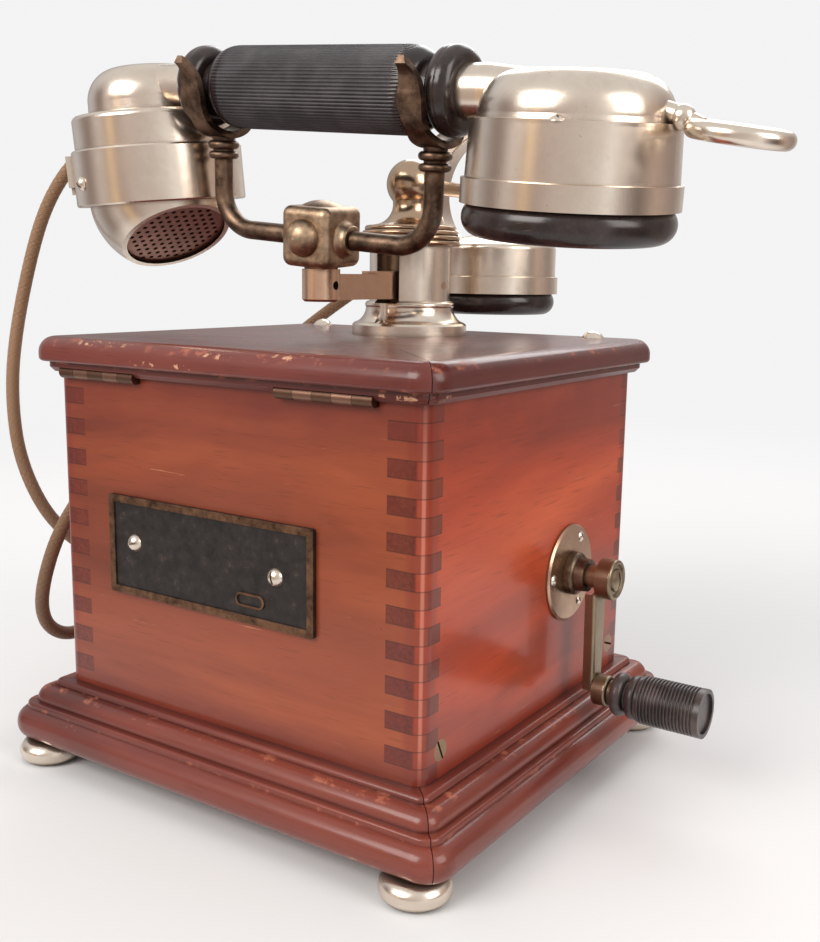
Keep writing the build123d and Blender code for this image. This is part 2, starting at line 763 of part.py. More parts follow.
def column():
    """The turned foot and slotted tube that carry the hook lever."""
    body = turned(
        (0, 0),
        (COLUMN_FOOT_R, 0),
        (COLUMN_FOOT_R, 3.6),
        (COLUMN_FOOT_R - 0.8, 4.4),
        (COLUMN_FOOT_R - 2.2, 4.9),
        ((17.6, 7.0), (16.6, 10.2)),
        ((16.9, 11.4), (15.9, 12.4)),
        (TUBE_R, 12.7),
        (TUBE_R, TUBE_TOP),
        (0, TUBE_TOP),
    )
    body -= Pos(0, 0, 6.5) * Cylinder(TUBE_BORE, 60, align=(Align.CENTER, Align.CENTER, Align.MIN))
    body -= span((-SLOT_W / 2, SLOT_W / 2), (-30, 0), (11.8, 60))
    body = Pos(0, COLUMN_Y, LID_TOP) * body
    body -= Pos(0, PLUNGER_Y, LID_TOP) * Cylinder(PLUNGER_R + 0.15, 60)
    for x, y in column_screw_points():
        body -= Pos(x, y, LID_TOP) * Cylinder(1.3, 8.8)
        body -= Pos(x, y, LID_TOP + 4.4) * Cylinder(2.4, 8, align=(Align.CENTER, Align.CENTER, Align.MIN))
    z = LID_TOP + PIVOT_H
    return body - rod((-30, COLUMN_Y, z), (30, COLUMN_Y, z), PIVOT_PIN_R)


def lever_pivot_pin():
    z = LID_TOP + PIVOT_H
    return rod((-TUBE_R, COLUMN_Y, z), (TUBE_R, COLUMN_Y, z), PIVOT_PIN_R)


def column_cap():
    """The ringed cap on the tube, with its waist and ball finial."""
    low = TUBE_TOP
    neck = (BALL_R * math.cos(math.radians(42)), BALL_H - BALL_R * math.sin(math.radians(42)))
    side = (BALL_R * math.cos(math.radians(24)), BALL_H + BALL_R * math.sin(math.radians(24)))
    cap = turned(
        (0, low),
        (18.0, low),
        ((19.0, low + 1.0), (18.2, low + 2.0)),
        ((18.9, low + 2.9), (17.8, low + 3.8)),
        ((18.3, low + 4.7), (17.0, low + 5.6)),
        ((17.3, low + 6.5), (15.6, low + 7.3)),
        (13.2, low + 7.9),
        ((8.6, low + 10.4), neck),
        (side, (0, BALL_H + BALL_R)),
    )
    return Pos(0, COLUMN_Y, LID_TOP) * cap


def aux_hook_arm():
    """The arm from the ball back to the hook that the ring of the second receiver hangs on."""
    low = LID_TOP + BALL_H
    high = LID_TOP + AUX_RING_H + AUX_RING_R - AUX_RING_T - ARM_R - SADDLE_GAP
    start = COLUMN_Y + BALL_R - 1.5
    points = [(0, start, low), (0, 76.0, low), (0, 86.0, high), (0, 109.0, high)]
    path = FilletPolyline(*points, radius=8.0)
    arm = sweep(Plane(path @ 0, z_dir=path % 0) * Circle(ARM_R), path=path)
    arm += Pos(0, 109.0, high) * Sphere(ARM_R)
    arm += rod((0, start, low), (0, start + 4.5, low), 4.2)
    return arm - column_cap()


def switch_springs():
    """Three leaf springs between insulating blocks, under the lid below the plunger."""
    pieces = []
    for i in range(3):
        z = 127.6 - 3.4 * i
        pieces.append(span((-3, 3), (PLUNGER_Y - 6 - 3 * i, 62 - 3), (z, z + 0.6)))
    gaps = [(LID_Z, 128.2), (127.6, 124.8), (124.2, 121.4), (120.8, 117.0)]
    for high, low in gaps:
        pieces.append(span((-5, 5), (50, 60), (low, high)))
    return Compound(pieces)


def switch_plunger():
    """The rod that the lever's tail pushes down onto the springs."""
    top = LID_TOP + PIVOT_H - LEVER_H / 2 - 0.5
    return rod((0, PLUNGER_Y, 129.6), (0, PLUNGER_Y, top), PLUNGER_R)


# ---------- hook lever and cradle ----------

def hook_lever():
    """The lever from the pivot out through the slot to the upright socket."""
    z = LID_TOP + PIVOT_H
    half = LEVER_W / 2
    bar = span((-half, half), (SOCKET_Y, COLUMN_Y + 8.5), (z - LEVER_H / 2, z + LEVER_H / 2))
    bar -= span((-9, 9), (SOCKET_Y - 9, COLUMN_Y - 26), (z + 3.9, z + 20))
    low, high = SOCKET_H
    tall = high - low
    socket = turned((0, 0), (SOCKET_R - 0.8, 0), (SOCKET_R, 0.8), (SOCKET_R, tall), (0, tall))
    lever = bar + Pos(0, SOCKET_Y, LID_TOP + low) * socket
    hole_z = LID_TOP + (low + high) / 2
    lever -= rod((0, SOCKET_Y, hole_z), (20, SOCKET_Y, hole_z), 1.5)
    return lever - rod((-30, COLUMN_Y, z), (30, COLUMN_Y, z), PIVOT_PIN_R + RUNNING_GAP)


def head(shape):
    """Places a cradle shape, built about the socket's top, with the head's tilt and lean."""
    return Pos(0, SOCKET_Y, LID_TOP + SOCKET_H[1]) * Rot(HEAD_LEAN, HEAD_TILT, 0) * shape


def block_shape():
    """The rounded cube with a boss on each side for the fork, and a spigot below."""
    cube = Pos(0, 0, CUBE_H) * Box(CUBE, CUBE, CUBE)
    cube = fillet(cube.edges(), 3.0)
    boss = turned((0, 0), (7.6, 0), ((5.4, 1.2), (4.9, 3.2)), (4.5, 3.6), (0, 3.6))
    cube += Pos(CUBE / 2 - 0.3, 0, FORK_H) * Rot(0, 90, 0) * boss
    cube += Pos(-CUBE / 2 + 0.3, 0, FORK_H) * Rot(0, -90, 0) * boss
    return cube + Pos(0, 0, 0.4) * Cylinder(5.7, 3.0)


def cradle_block():
    return head(block_shape()) - hook_lever()


def block_caps():
    """The domed button on the block's front and the low dome on its top."""
    button = turned((0, 0), (6.4, 0), cap_arc(6.4, 0, 5.2))
    dome = turned((0, 0), (6.8, 0), cap_arc(6.8, 0, 1.9))
    front = Pos(0, -CUBE / 2, CUBE_H) * Rot(90, 0, 0) * button
    top = Pos(0, 0, CUBE_H + CUBE / 2) * dome
    return head(Compound([front, top]))


def fork_rod():
    """The two bent arms of the fork, each up to its saddle."""
    top = HANDLE_H - GRIP_BODY_R - 10.2
    points = [(-FORK_HALF, 0, top), (-FORK_HALF, 0, FORK_H), (FORK_HALF, 0, FORK_H), (FORK_HALF, 0, top)]
    path = FilletPolyline(*points, radius=FORK_BEND)
    arms = sweep(Plane(path @ 0, z_dir=path % 0) * Circle(FORK_R), path=path)
    return head(arms - block_shape())


def saddle():
    """A turned stem with two beads, and two prongs that curl outwards at their tips."""
    thick = 2.4
    mid_r = GRIP_BODY_R + SADDLE_GAP + thick / 2
    curl = 8.5
    swing = math.radians(72)
    rise = -0.4
    seat = rise - 0.3
    end_y = mid_r + curl * (1 - math.cos(swing))
    end_z = rise + curl * math.sin(swing)
    mid_y = mid_r + curl * (1 - math.cos(swing / 2))
    mid_z = rise + curl * math.sin(swing / 2)
    lines = [
        ThreePointArc((-end_y, end_z), (-mid_y, mid_z), (-mid_r, rise)),
        Line((-mid_r, rise), (-mid_r, seat)),
        ThreePointArc((-mid_r, seat), (0, seat - mid_r), (mid_r, seat)),
        Line((mid_r, seat), (mid_r, rise)),
        ThreePointArc((mid_r, rise), (mid_y, mid_z), (end_y, end_z)),
    ]
    path = Plane.YZ * Wire(lines)
    start = Plane(path @ 0, x_dir=(1, 0, 0), z_dir=path % 0)
    prongs = sweep(start * RectangleRounded(10.0, thick, 0.8), path=path)
    half_leaf = [(4.6, -30.0), (4.6, -15.5), (3.3, -11.5), (4.5, -3.5), (3.4, 2.5), (0.9, 9.0)]
    leaf = half_leaf + [(-x, z) for x, z in reversed(half_leaf)]
    prongs &= extrude(Plane.XZ * Polygon(*leaf, align=None), 40, both=True)
    low = -GRIP_BODY_R - 10.2
    stem = turned(
        (0, low),
        (FORK_R, low),
        ((5.2, low + 1.2), (3.6, low + 2.4)),
        (3.6, low + 3.2),
        ((5.4, low + 4.6), (3.8, low + 6.0)),
        ((4.2, low + 7.6), (5.4, low + 9.0)),
        (0, low + 9.2),
    )
    bowl = rod((-30, 0, 0), (30, 0, 0), GRIP_BODY_R + SADDLE_GAP)
    return Pos(0, 0, HANDLE_H) * (prongs + stem - bowl)


def saddles():
    return head(Compound([Pos(side * FORK_HALF, 0, 0) * saddle() for side in (-1, 1)]))


# ---------- handset ----------

def handset(shape):
    """Places a shape built about the middle of the handle's axis."""
    return head(Pos(0, 0, HANDLE_H) * shape)


def along(shape, x=0.0):
    """Turns a shape built up along Z so that it lies along the handle."""
    return Pos(x, 0, 0) * Rot(0, 90, 0) * shape


def handle_grip():
    """The ebonite grip, with fine ribs along it and rounded plain ends."""
    half = GRIP_BODY_HALF
    grip = turned(
        (0, -half),
        (9.0, -half),
        ((GRIP_BODY_R - 1.2, -half + 2.6), (GRIP_BODY_R, -half + GRIP_DOME)),
        (GRIP_BODY_R, half - GRIP_DOME),
        ((GRIP_BODY_R - 1.2, half - 2.6), (9.0, half)),
        (0, half),
    )
    grip -= Cylinder(HANDLE_TUBE_R, 200)
    return handset(along(grip))


def handle_tube():
    """The steel tube that joins the two ends through the grip."""
    tube = Cylinder(HANDLE_TUBE_R, 2 * (BEAD_X + 5.5)) - Cylinder(3.4, 200)
    return handset(along(tube))


def handle_beads():
    """The turned ebonite bead at each end of the grip."""
    inner = GRIP_BODY_HALF - BEAD_X
    bead = turned(
        (HANDLE_TUBE_R, inner),
        (8.6, inner),
        (8.6, -BEAD_HALF),
        ((12.2, -3.6), (BEAD_R, 0.0)),
        ((12.2, 3.6), (8.4, BEAD_HALF)),
        (HANDLE_TUBE_R, BEAD_HALF),
    )
    right = along(bead, BEAD_X)
    return handset(Compound([right, Rot(0, 0, 180) * right]))


def at_receiver(shape):
    return handset(Pos(RECEIVER_X, 0, 0) * shape)


def receiver_body():
    """The nickel casting over the receiver: a flat-topped dome that runs into the neck."""
    dome = turned(
        (0, -8.6),
        (30.2, -8.6),
        (30.2, -7.6),
        (28.3, -7.4),
        (28.0, -6.0),
        ((24.2, 2.8), (15.0, RECEIVER_TOP - 0.4)),
        (0, RECEIVER_TOP),
    )
    start = BEAD_X + BEAD_HALF - RECEIVER_X
    flush = RECEIVER_TOP - 0.3
    neck = turned((0, 0), (RECEIVER_NECK_R, 0), (RECEIVER_NECK_R, 7), (flush, 28), (flush, 34), (0, 34))
    neck = along(neck, start)
    neck -= span((-60, 60), (-60, 60), (-60, -8.6))
    body = dome + neck
    body -= turned((0, -9), (26, -9), (26, -6.5), (20, 1.5), (0, 1.5))
    body -= along(Cylinder(HANDLE_TUBE_R, 12), BEAD_X - RECEIVER_X)
    return at_receiver(body)


def receiver_case():
    """The slightly flared case and its wider clamping band."""
    case = turned(
        (0, -8.6),
        (30.2, -8.6),
        (30.9, -23.6),
        (32.0, -23.9),
        (32.0, -31.0),
        (28.5, -31.0),
        (28.5, -10.4),
        (0, -10.4),
    )
    return at_receiver(case)


def receiver_cap():
    """The ebonite ear cap, rounded outside and dished, with a sound hole."""
    cap = turned(
        (4.5, -34.0),
        (24.0, -31.0),
        (29.6, -31.0),
        ((31.2, -36.0), (27.0, -40.4)),
        (23.5, -40.4),
        ((12.0, -37.4), (4.5, -36.6)),
    )
    return at_receiver(cap)


def receiver_diaphragm():
    """The iron diaphragm, and the two coils on their magnet above it."""
    disc = turned((0, -30.6), (28.4, -30.6), (28.4, -30.0), (0, -30.0))
    coil = turned((0, -28.6), (5.0, -28.6), (5.0, -20), (0, -20))
    bar = Pos(0, 0, -15.2) * Box(36, 14, 9.6)
    return at_receiver(Compound([disc, Pos(-8, 0, 0) * coil, Pos(8, 0, 0) * coil, bar]))


def hanging_loop():
    """The lug on the receiver's shoulder and the closed ring beyond it."""
    ring = Pos(47.5, 0, -9.5) * Rot(0, 6, 0) * Torus(12.0, 2.6)
    root = Vector(20.0, 0, -2.6)
    knee = Vector(31.5, 0, -5.6)
    arm = rod(tuple(root), tuple(knee), 3.0)
    arm += Pos(*knee) * Sphere(3.5)
    arm += rod(tuple(knee), (37.0, 0, -7.8), 2.4)
    return at_receiver(ring + arm) - receiver_body() - receiver_case()


def at_transmitter(shape):
    return handset(Pos(TRANSMITTER_X, TRANSMITTER_Y, 0) * Rot(0, -TRANSMITTER_TILT, 0) * shape)


def transmitter_body():
    """The low dome, its neck and the upper part of the transmitter's case."""
    dome = turned(
        (0, -22.2),
        (29.6, -22.2),
        (29.6, -12.4),
        ((29.0, -10.6), (27.2, -10.0)),
        (23.2, -9.6),
        (23.0, -6.0),
        ((19.0, 3.4), (11.0, 6.6)),
        (0, 7.0),
    )
    hollow = at_transmitter(turned((0, -23), (28.2, -23), (28.2, -12), (21, -11), (18, 1.5), (0, 1.5)))
    start = TRANSMITTER_X + 14
    end = -BEAD_X - BEAD_HALF
    neck = along(turned((0, 0), (NECK_R, 0), (NECK_R, end - start), (0, end - start)), start)
    body = at_transmitter(dome) - handset(bead_space()) + handset(neck) - hollow
    body -= handset(along(Cylinder(HANDLE_TUBE_R, 12), -BEAD_X))
    gland = turned((0, 0), (4.6, 0), (4.2, 3.0), (3.4, 5.0), (0, 5.0))
    gland = Rot(0, 0, GLAND_TURN) * Pos(-29.2, 0, -16.5) * Rot(0, -90, 0) * gland
    return body + at_transmitter(gland)


def bead_space():
    """The room that the left bead needs in the shoulder of the transmitter's case."""
    return along(Cylinder(BEAD_R + 0.4, 2 * 6.6), -BEAD_X + 1.5)


def transmitter_band():
    """The wider lower band, with its catch tab."""
    band = turned(
        (28.2, -42.0),
        (BAND_R - 0.4, -42.0),
        (BAND_R, -41.4),
        (BAND_R, -22.8),
        (BAND_R - 0.4, -22.2),
        (28.2, -22.2),
    )
    tab = span((-BAND_R - 1.9, -BAND_R + 0.6), (-4.2, 4.2), (-34.6, -23.4))
    tab += span((-BAND_R - 1.5, -BAND_R + 0.6), (-1.2, 1.2), (-37.2, -34.0))
    tab -= Cylinder(BAND_R - 0.3, 200)
    return at_transmitter(band + Rot(0, 0, 41) * tab)


def mouth_plane(offset=0.0):
    """The plane of the slanted opening, or one that lies deeper by the offset."""
    slope = math.radians(MOUTH_SLOPE)
    x = MOUTH_TOP[0] - offset * math.sin(slope)
    z = MOUTH_TOP[1] + offset * math.cos(slope)
    tipped = Plane(origin=(x, 0, z), x_dir=(0, 1, 0), z_dir=(math.sin(slope), 0, -math.cos(slope)))
    return Plane(Rot(0, 0, MOUTH_TURN) * tipped.location)


def mouth_cut(offset):
    """Everything on the speaking side of the slanted opening."""
    return mouth_plane(offset) * (Pos(0, 0, 60) * Box(200, 200, 120))


def scoop(shrink):
    """The rounded body that the mouthpiece is cut from."""
    r = 26.6 - shrink
    low = -67.0 + shrink
    return turned((0, -42.0), (r, -42.0), cap_arc(r, -42.0, low))


def mouthpiece():
    """The scoop-shaped nickel mouthpiece."""
    shell = scoop(0.0) - mouth_cut(0.0)
    shell -= scoop(1.4) & span((-60, 60), (-60, 60), (-70, -41))
    ring = turned((22.0, -42.0), (28.2, -42.0), (28.2, -40.0), (22.0, -40.0))
    return at_transmitter(shell + ring)


def mouth_grille():
    """The perforated plate just inside the slanted opening."""
    plate = scoop(1.45) & (mouth_cut(2.4) - mouth_cut(1.2))
    pitch = 3.4
    middle = 21.0
    holes = []
    for row in range(-6, 7):
        for column_no in range(-6, 7):
            across = pitch * (column_no + 0.5 * (row % 2))
            down = pitch * 0.87 * row
            if math.hypot(across, down) < 17.5:
                holes.append(mouth_plane() * (Pos(across, -middle - down, 0) * Cylinder(0.85, 12)))
    return at_transmitter(plate - holes)


def transmitter_capsule():
    """The carbon capsule inside the case."""
    capsule = turned((0, -39.5), (20, -39.5), (27.6, -38.0), (27.6, -30.0), (22, -26.0), (0, -24.0))
    return at_transmitter(capsule)


def handset_screws():
    """The small screws on the receiver's shoulder, and on the transmitter's band and rim."""
    small = slotted_screw(2.3, 1.3, 1.1, 1.6, turn=25)
    front = Rot(0, 0, -74) * Pos(29.0, 0, -7.5) * Rot(0, 12, 0) * small
    larger = slotted_screw(2.7, 2.0, 1.1, 1.6, turn=50)
    band = Rot(0, 0, -106) * Pos(BAND_R, 0, -34.0) * Rot(0, 90, 0) * larger
    boss = Rot(0, 0, 208) * Pos(26.6, 0, -10.0) * Cylinder(3.3, 2.6)
    return Compound([
        at_receiver(front) - receiver_body() - receiver_case(),
        at_transmitter(band) - transmitter_band(),
        at_transmitter(boss) - transmitter_body(),
    ])


# ---------- second receiver ----------

def at_aux(shape):
    return Pos(0, AUX_Y, LID_TOP) * shape


def aux_case_outline():
    return turned(
        (0, 15.0),
        (27.5, 15.0),
        (27.5, 21.8),
        (26.4, 22.2),
        (26.4, 33.2),
        ((25.8, 34.6), (24.4, 35.2)),
        cap_arc(24.4, 35.2, 39.6),
    )


def aux_case():
    """The second receiver's case: a low dome, a drum and a wider band."""
    case = aux_case_outline() - turned((0, 14), (24.6, 14), (24.6, 32.6), (0, 35.6))
    gland = turned((0, 0), (4.4, 0), (4.0, 3.4), (3.3, 6.0), (0, 6.0))
    gland = Pos(-26.0, 0, 28.0) * Rot(0, -90, 0) * gland
    gland -= turned((0, 14), (25.4, 14), (25.4, 32.6), (0, 32.6))
    return at_aux(case + gland)


def aux_cap():
    """The ebonite ear cap, and the iron diaphragm that it clamps."""
    diaphragm = turned((0, 15.2), (24.4, 15.2), (24.4, 15.8), (0, 15.8))
    cap = turned(
        (4.2, 12.6),
        (20.0, 15.0),
        (25.0, 15.0),
        ((26.2, 10.8), (22.6, 6.6)),
        (19.6, 6.6),
        ((10.0, 9.0), (4.2, 10.2)),
    )
    return at_aux(Compound([cap, diaphragm]))


def aux_ring():
    """The ring magnet that the second receiver hangs by."""
    inner = AUX_RING_R - AUX_RING_T
    ring = Cylinder(AUX_RING_R, 9.0) - Cylinder(inner, 20)
    ring = fillet(ring.edges(), 0.8)
    ring = Pos(0, 0, AUX_RING_H) * Rot(90, 0, 0) * ring
    return at_aux(ring - aux_case_outline())


# ---------- cords ----------

def transmitter_exit(reach):
    """A point out along the transmitter's gland."""
    turn = math.radians(GLAND_TURN)
    far = -29.2 - reach
    point = Pos(far * math.cos(turn), far * math.sin(turn), -16.5)
    return tuple(at_transmitter(point * Vertex(0, 0, 0)).center())


def aux_exit():
    return (-32.0, AUX_Y, LID_TOP + 28.0)


def gland_mouth(gland):
    """The point at the mouth of a gland in the left panel."""
    x, y, z = gland
    return (x - GLAND_LENGTH, y, z)


def cords():
    """The four stretches of the two cords, each with its route from the instrument down."""
    return {
        "handset_cord_upper": [transmitter_exit(5.0), transmitter_exit(12.0)] + HANDSET_CORD_UP,
        "handset_cord_lower": HANDSET_CORD_DOWN + [gland_mouth(HANDSET_GLAND)],
        "aux_cord_upper": [aux_exit()] + AUX_CORD_UP,
        "aux_cord_lower": AUX_CORD_DOWN + [gland_mouth(AUX_GLAND)],
    }


PARTS = {
    "base_moulding": base_moulding,
    "base_board": base_board,
    "feet": feet,
    "front_panel": lambda: front_or_rear(-1),
    "rear_panel": lambda: front_or_rear(1),
    "left_panel": lambda: side_panel(-1),
    "right_panel": lambda: side_panel(1),
    "panel_screws": panel_screws,
    "nameplate": nameplate,
    "nameplate_screws": nameplate_screws,
    "hinge_box_leaves": hinge_box_leaves,
    "hinge_lid_leaves": hinge_lid_leaves,
    "cord_glands": cord_glands,
    "escutcheon": escutcheon,
    "escutcheon_screws": escutcheon_screws,
    "shaft_bush": shaft_bush,
    "crank_shaft": crank_shaft,
    "drive_gear": drive_gear,
    "crank_arm": crank_arm,
    "crank_grip": crank_grip,
    "magneto_frame": magneto_frame,
    "magneto_magnets": magneto_magnets,
    "armature": armature,
    "induction_coil": induction_coil,
    "terminal_strip": terminal_strip,
    "lid_moulding": lid_moulding,
    "lid_panel": lid_panel,
    "lid_screws": lid_screws,
    "column": column,
    "column_cap": column_cap,
    "lever_pivot_pin": lever_pivot_pin,
    "aux_hook_arm": aux_hook_arm,
    "switch_springs": switch_springs,
    "switch_plunger": switch_plunger,
    "hook_lever": hook_lever,
    "cradle_block": cradle_block,
    "block_caps": block_caps,
    "fork_rod": fork_rod,
    "saddles": saddles,
    "handle_grip": handle_grip,
    "handle_beads": handle_beads,
    "handle_tube": handle_tube,
    "receiver_body": receiver_body,
    "receiver_case": receiver_case,
    "receiver_cap": receiver_cap,
    "receiver_diaphragm": receiver_diaphragm,
    "hanging_loop": hanging_loop,
    "transmitter_body": transmitter_body,
    "transmitter_band": transmitter_band,
    "mouthpiece": mouthpiece,
    "mouth_grille": mouth_grille,
    "transmitter_capsule": transmitter_capsule,
    "handset_screws": handset_screws,
    "aux_case": aux_case,
    "aux_cap": aux_cap,
    "aux_ring": aux_ring,
}

os.makedirs("parts", exist_ok=True)
built = {name: make() for name, make in PARTS.items()}
middle = Compound(list(built.values())).bounding_box().center()
to_origin = Pos(-middle.X, -middle.Y, 0)
print(f"box middle at x {-middle.X:.4f}, y {-middle.Y:.4f}")
for name, route in cords().items():
    built[name] = cord_tube(name, route)
for name, shape in built.items():
    export_step(to_origin * shape, f"parts/{name}.step")
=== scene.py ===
import math

import bpy
from mathutils import Matrix, Vector


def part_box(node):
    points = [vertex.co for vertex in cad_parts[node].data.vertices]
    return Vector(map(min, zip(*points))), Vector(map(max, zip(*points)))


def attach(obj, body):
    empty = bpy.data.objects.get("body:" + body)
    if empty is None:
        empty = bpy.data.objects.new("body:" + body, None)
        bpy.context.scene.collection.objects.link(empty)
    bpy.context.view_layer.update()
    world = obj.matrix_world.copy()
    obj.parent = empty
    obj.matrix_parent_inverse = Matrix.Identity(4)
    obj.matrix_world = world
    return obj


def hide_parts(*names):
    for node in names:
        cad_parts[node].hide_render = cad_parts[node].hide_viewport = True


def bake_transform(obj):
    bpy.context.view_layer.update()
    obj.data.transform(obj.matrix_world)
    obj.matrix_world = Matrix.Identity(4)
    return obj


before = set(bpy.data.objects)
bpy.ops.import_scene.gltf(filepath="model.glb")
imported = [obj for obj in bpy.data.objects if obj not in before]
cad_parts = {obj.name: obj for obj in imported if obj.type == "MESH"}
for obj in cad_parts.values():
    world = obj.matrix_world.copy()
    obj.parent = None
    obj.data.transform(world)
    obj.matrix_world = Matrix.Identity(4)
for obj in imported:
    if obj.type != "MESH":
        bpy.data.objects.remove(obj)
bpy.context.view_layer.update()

# ---------- places, in metres, from the CAD frame ----------

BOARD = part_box("base_board")
MIDDLE = Vector(((BOARD[0][0] + BOARD[1][0]) / 2, (BOARD[0][1] + BOARD[1][1]) / 2, 0.0))
BOX_HALF_X = (BOARD[1][0] - BOARD[0][0]) / 2
BOX_HALF_Y = (BOARD[1][1] - BOARD[0][1]) / 2
LID_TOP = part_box("lid_moulding")[1][2]
LID_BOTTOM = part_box("lid_moulding")[0][2]
BASE_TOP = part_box("base_moulding")[1][2]
BASE_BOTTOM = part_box("base_moulding")[0][2]
FINGERS = 21
FINGER = (LID_BOTTOM - BASE_TOP) / FINGERS
FINGER_FACE = 0.46
SIDE_WALL = 0.013
FRONT_WALL = 0.009
GRIP_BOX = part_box("handle_grip")
GRIP_CENTRE = (Vector(GRIP_BOX[0]) + Vector(GRIP_BOX[1])) / 2
HEAD_TURN = Matrix.Rotation(math.radians(5), 4, "X") @ Matrix.Rotation(math.radians(5), 4, "Y")


def at_box(x, y, z):
    """A point given from under the middle of the box."""
    return MIDDLE + Vector((x, y, z))


# ---------- camera ----------

def place_camera():
    """The viewing angle, from the front right and a little above."""
    data = bpy.data.cameras.new("camera")
    data.sensor_width = 36.0
    data.lens = 42.4
    data.clip_start = 0.01
    camera = bpy.data.objects.new("camera", data)
    bpy.context.scene.collection.objects.link(camera)
    turn = Matrix.Rotation(math.radians(33.9), 4, "Z")
    tip = Matrix.Rotation(math.radians(90 - 10.2), 4, "X")
    roll = Matrix.Rotation(math.radians(0.84), 4, "Z")
    camera.matrix_world = Matrix.Translation(at_box(0.2399, -0.321, 0.1766)) @ turn @ tip @ roll
    bpy.context.scene.camera = camera


place_camera()

# ---------- cords ----------

CORD_D = 0.0052
STRANDS = 12
STRAND_RELIEF = 0.045
TAIL_LENGTH = 0.008
TAIL_THINNING = 0.1
TAIL_TAPER = 0.001
RING_STEP = 0.0005
BRAID_PITCH = 0.011
HANDSET_CORD_UPPER = [
    (-0.11360, -0.00993, 0.22572),
    (-0.12039, -0.00823, 0.22564),
    (-0.1295, -0.011, 0.2215),
    (-0.135, -0.0165, 0.2135),
    (-0.1394, -0.0225, 0.2005),
    (-0.14211, -0.02748, 0.1846),
    (-0.144, -0.030, 0.172),
]
HANDSET_CORD_LOWER = [
    (-0.144, -0.030, 0.172),
    (-0.147, -0.034, 0.152),
    (-0.147, -0.038, 0.124),
    (-0.140, -0.040, 0.096),
    (-0.127, -0.034, 0.070),
    (-0.114, -0.014, 0.054),
    (-0.107, 0.008, 0.050),
    (-0.1025, 0.023, 0.049),
    (-0.098, 0.035, 0.0485),
    (-0.091, 0.042, 0.048),
    (-0.0825, 0.042, 0.048),
]
AUX_CORD_UPPER = [
    (-0.032, 0.097, 0.181),
    (-0.044, 0.097, 0.181),
    (-0.058, 0.095, 0.175),
    (-0.070, 0.090, 0.166),
]
AUX_CORD_LOWER = [
    (-0.070, 0.090, 0.166),
    (-0.085, 0.08375, 0.15475),
    (-0.095, 0.066, 0.139),
    (-0.096, 0.034, 0.125),
    (-0.094, -0.004, 0.113),
    (-0.095, -0.036, 0.101),
    (-0.099, -0.054, 0.080),
    (-0.102, -0.062, 0.056),
    (-0.105, -0.059, 0.041),
    (-0.106, -0.048, 0.033),
    (-0.106, -0.035, 0.034),
    (-0.104, -0.021, 0.039),
    (-0.100, -0.009, 0.0435),
    (-0.092, -0.002, 0.046),
    (-0.0825, -0.002, 0.046),
]


def mesh_object(name, vertices, faces, smooth=True):
    """A new mesh object at the origin of the frame."""
    mesh = bpy.data.meshes.new(name)
    mesh.from_pydata(vertices, [], faces)
    mesh.update()
    mesh.polygons.foreach_set("use_smooth", [smooth] * len(mesh.polygons))
    piece = bpy.data.objects.new(name, mesh)
    bpy.context.scene.collection.objects.link(piece)
    return piece


def smooth_line(route):
    """The points of the NURBS spline that has the route as its control points."""
    curve = bpy.data.curves.new("route", "CURVE")
    curve.dimensions = "3D"
    curve.resolution_u = 24
    spline = curve.splines.new("NURBS")
    spline.points.add(len(route) - 1)
    for point, place in zip(spline.points, route):
        point.co = (*at_box(*place), 1.0)
    spline.order_u = 3
    spline.use_endpoint_u = True
    carrier = bpy.data.objects.new("route", curve)
    mesh = bpy.data.meshes.new_from_object(carrier)
    line = [vertex.co.copy() for vertex in mesh.vertices]
    bpy.data.objects.remove(carrier)
    bpy.data.meshes.remove(mesh)
    bpy.data.curves.remove(curve)
    return line


def evenly(line, step):
    """The line cut into even steps, with the distance of each point from its start."""
    total = sum((b - a).length for a, b in zip(line, line[1:]))
    count = max(2, round(total / step))
    places = [line[0].copy()]
    travelled = 0.0
    for a, b in zip(line, line[1:]):
        length = (b - a).length
        while length > 0 and len(places) < count and travelled + length >= len(places) * total / count:
            share = (len(places) * total / count - travelled) / length
            places.append(a.lerp(b, share))
        travelled += length
    places.append(line[-1].copy())
    return places, total


def braided_tube(name, places, total, radius, full, sides=36):
    """A tube with two sets of crossing strands raised on it, a little thinner past its full length."""
    vertices = []
    heights = []
    side = (places[1] - places[0]).orthogonal().normalized()
    for i, place in enumerate(places):
        ahead = places[min(i + 1, len(places) - 1)] - places[max(i - 1, 0)]
        ahead.normalize()
        side = (side - ahead * side.dot(ahead)).normalized()
        up = ahead.cross(side)
        travelled = total * i / (len(places) - 1)
        along = 2 * math.pi * travelled / BRAID_PITCH
        thinned = 1.0 - TAIL_THINNING * min(1.0, max(0.0, (travelled - full) / TAIL_TAPER))
        for k in range(sides):
            angle = 2 * math.pi * k / sides
            left = math.cos(STRANDS / 2 * (angle + along))
            right = math.cos(STRANDS / 2 * (angle - along))
            height = max(left, right) if left * right < 0 else abs(left + right) / 2
            heights.append(height)
            reach = radius * (1 - STRAND_RELIEF + STRAND_RELIEF * height) * thinned
            vertices.append(place + reach * (math.cos(angle) * side + math.sin(angle) * up))
    faces = []
    for i in range(len(places) - 1):
        for k in range(sides):
            a = i * sides + k
            b = i * sides + (k + 1) % sides
            faces.append((a, b, b + sides, a + sides))
    last = (len(places) - 1) * sides
    faces.append(tuple(reversed(range(sides))))
    faces.append(tuple(range(last, last + sides)))
    piece = mesh_object(name, vertices, faces)
    layer = piece.data.attributes.new("braid_height", "FLOAT", "POINT")
    layer.data.foreach_set("value", heights)
    return piece


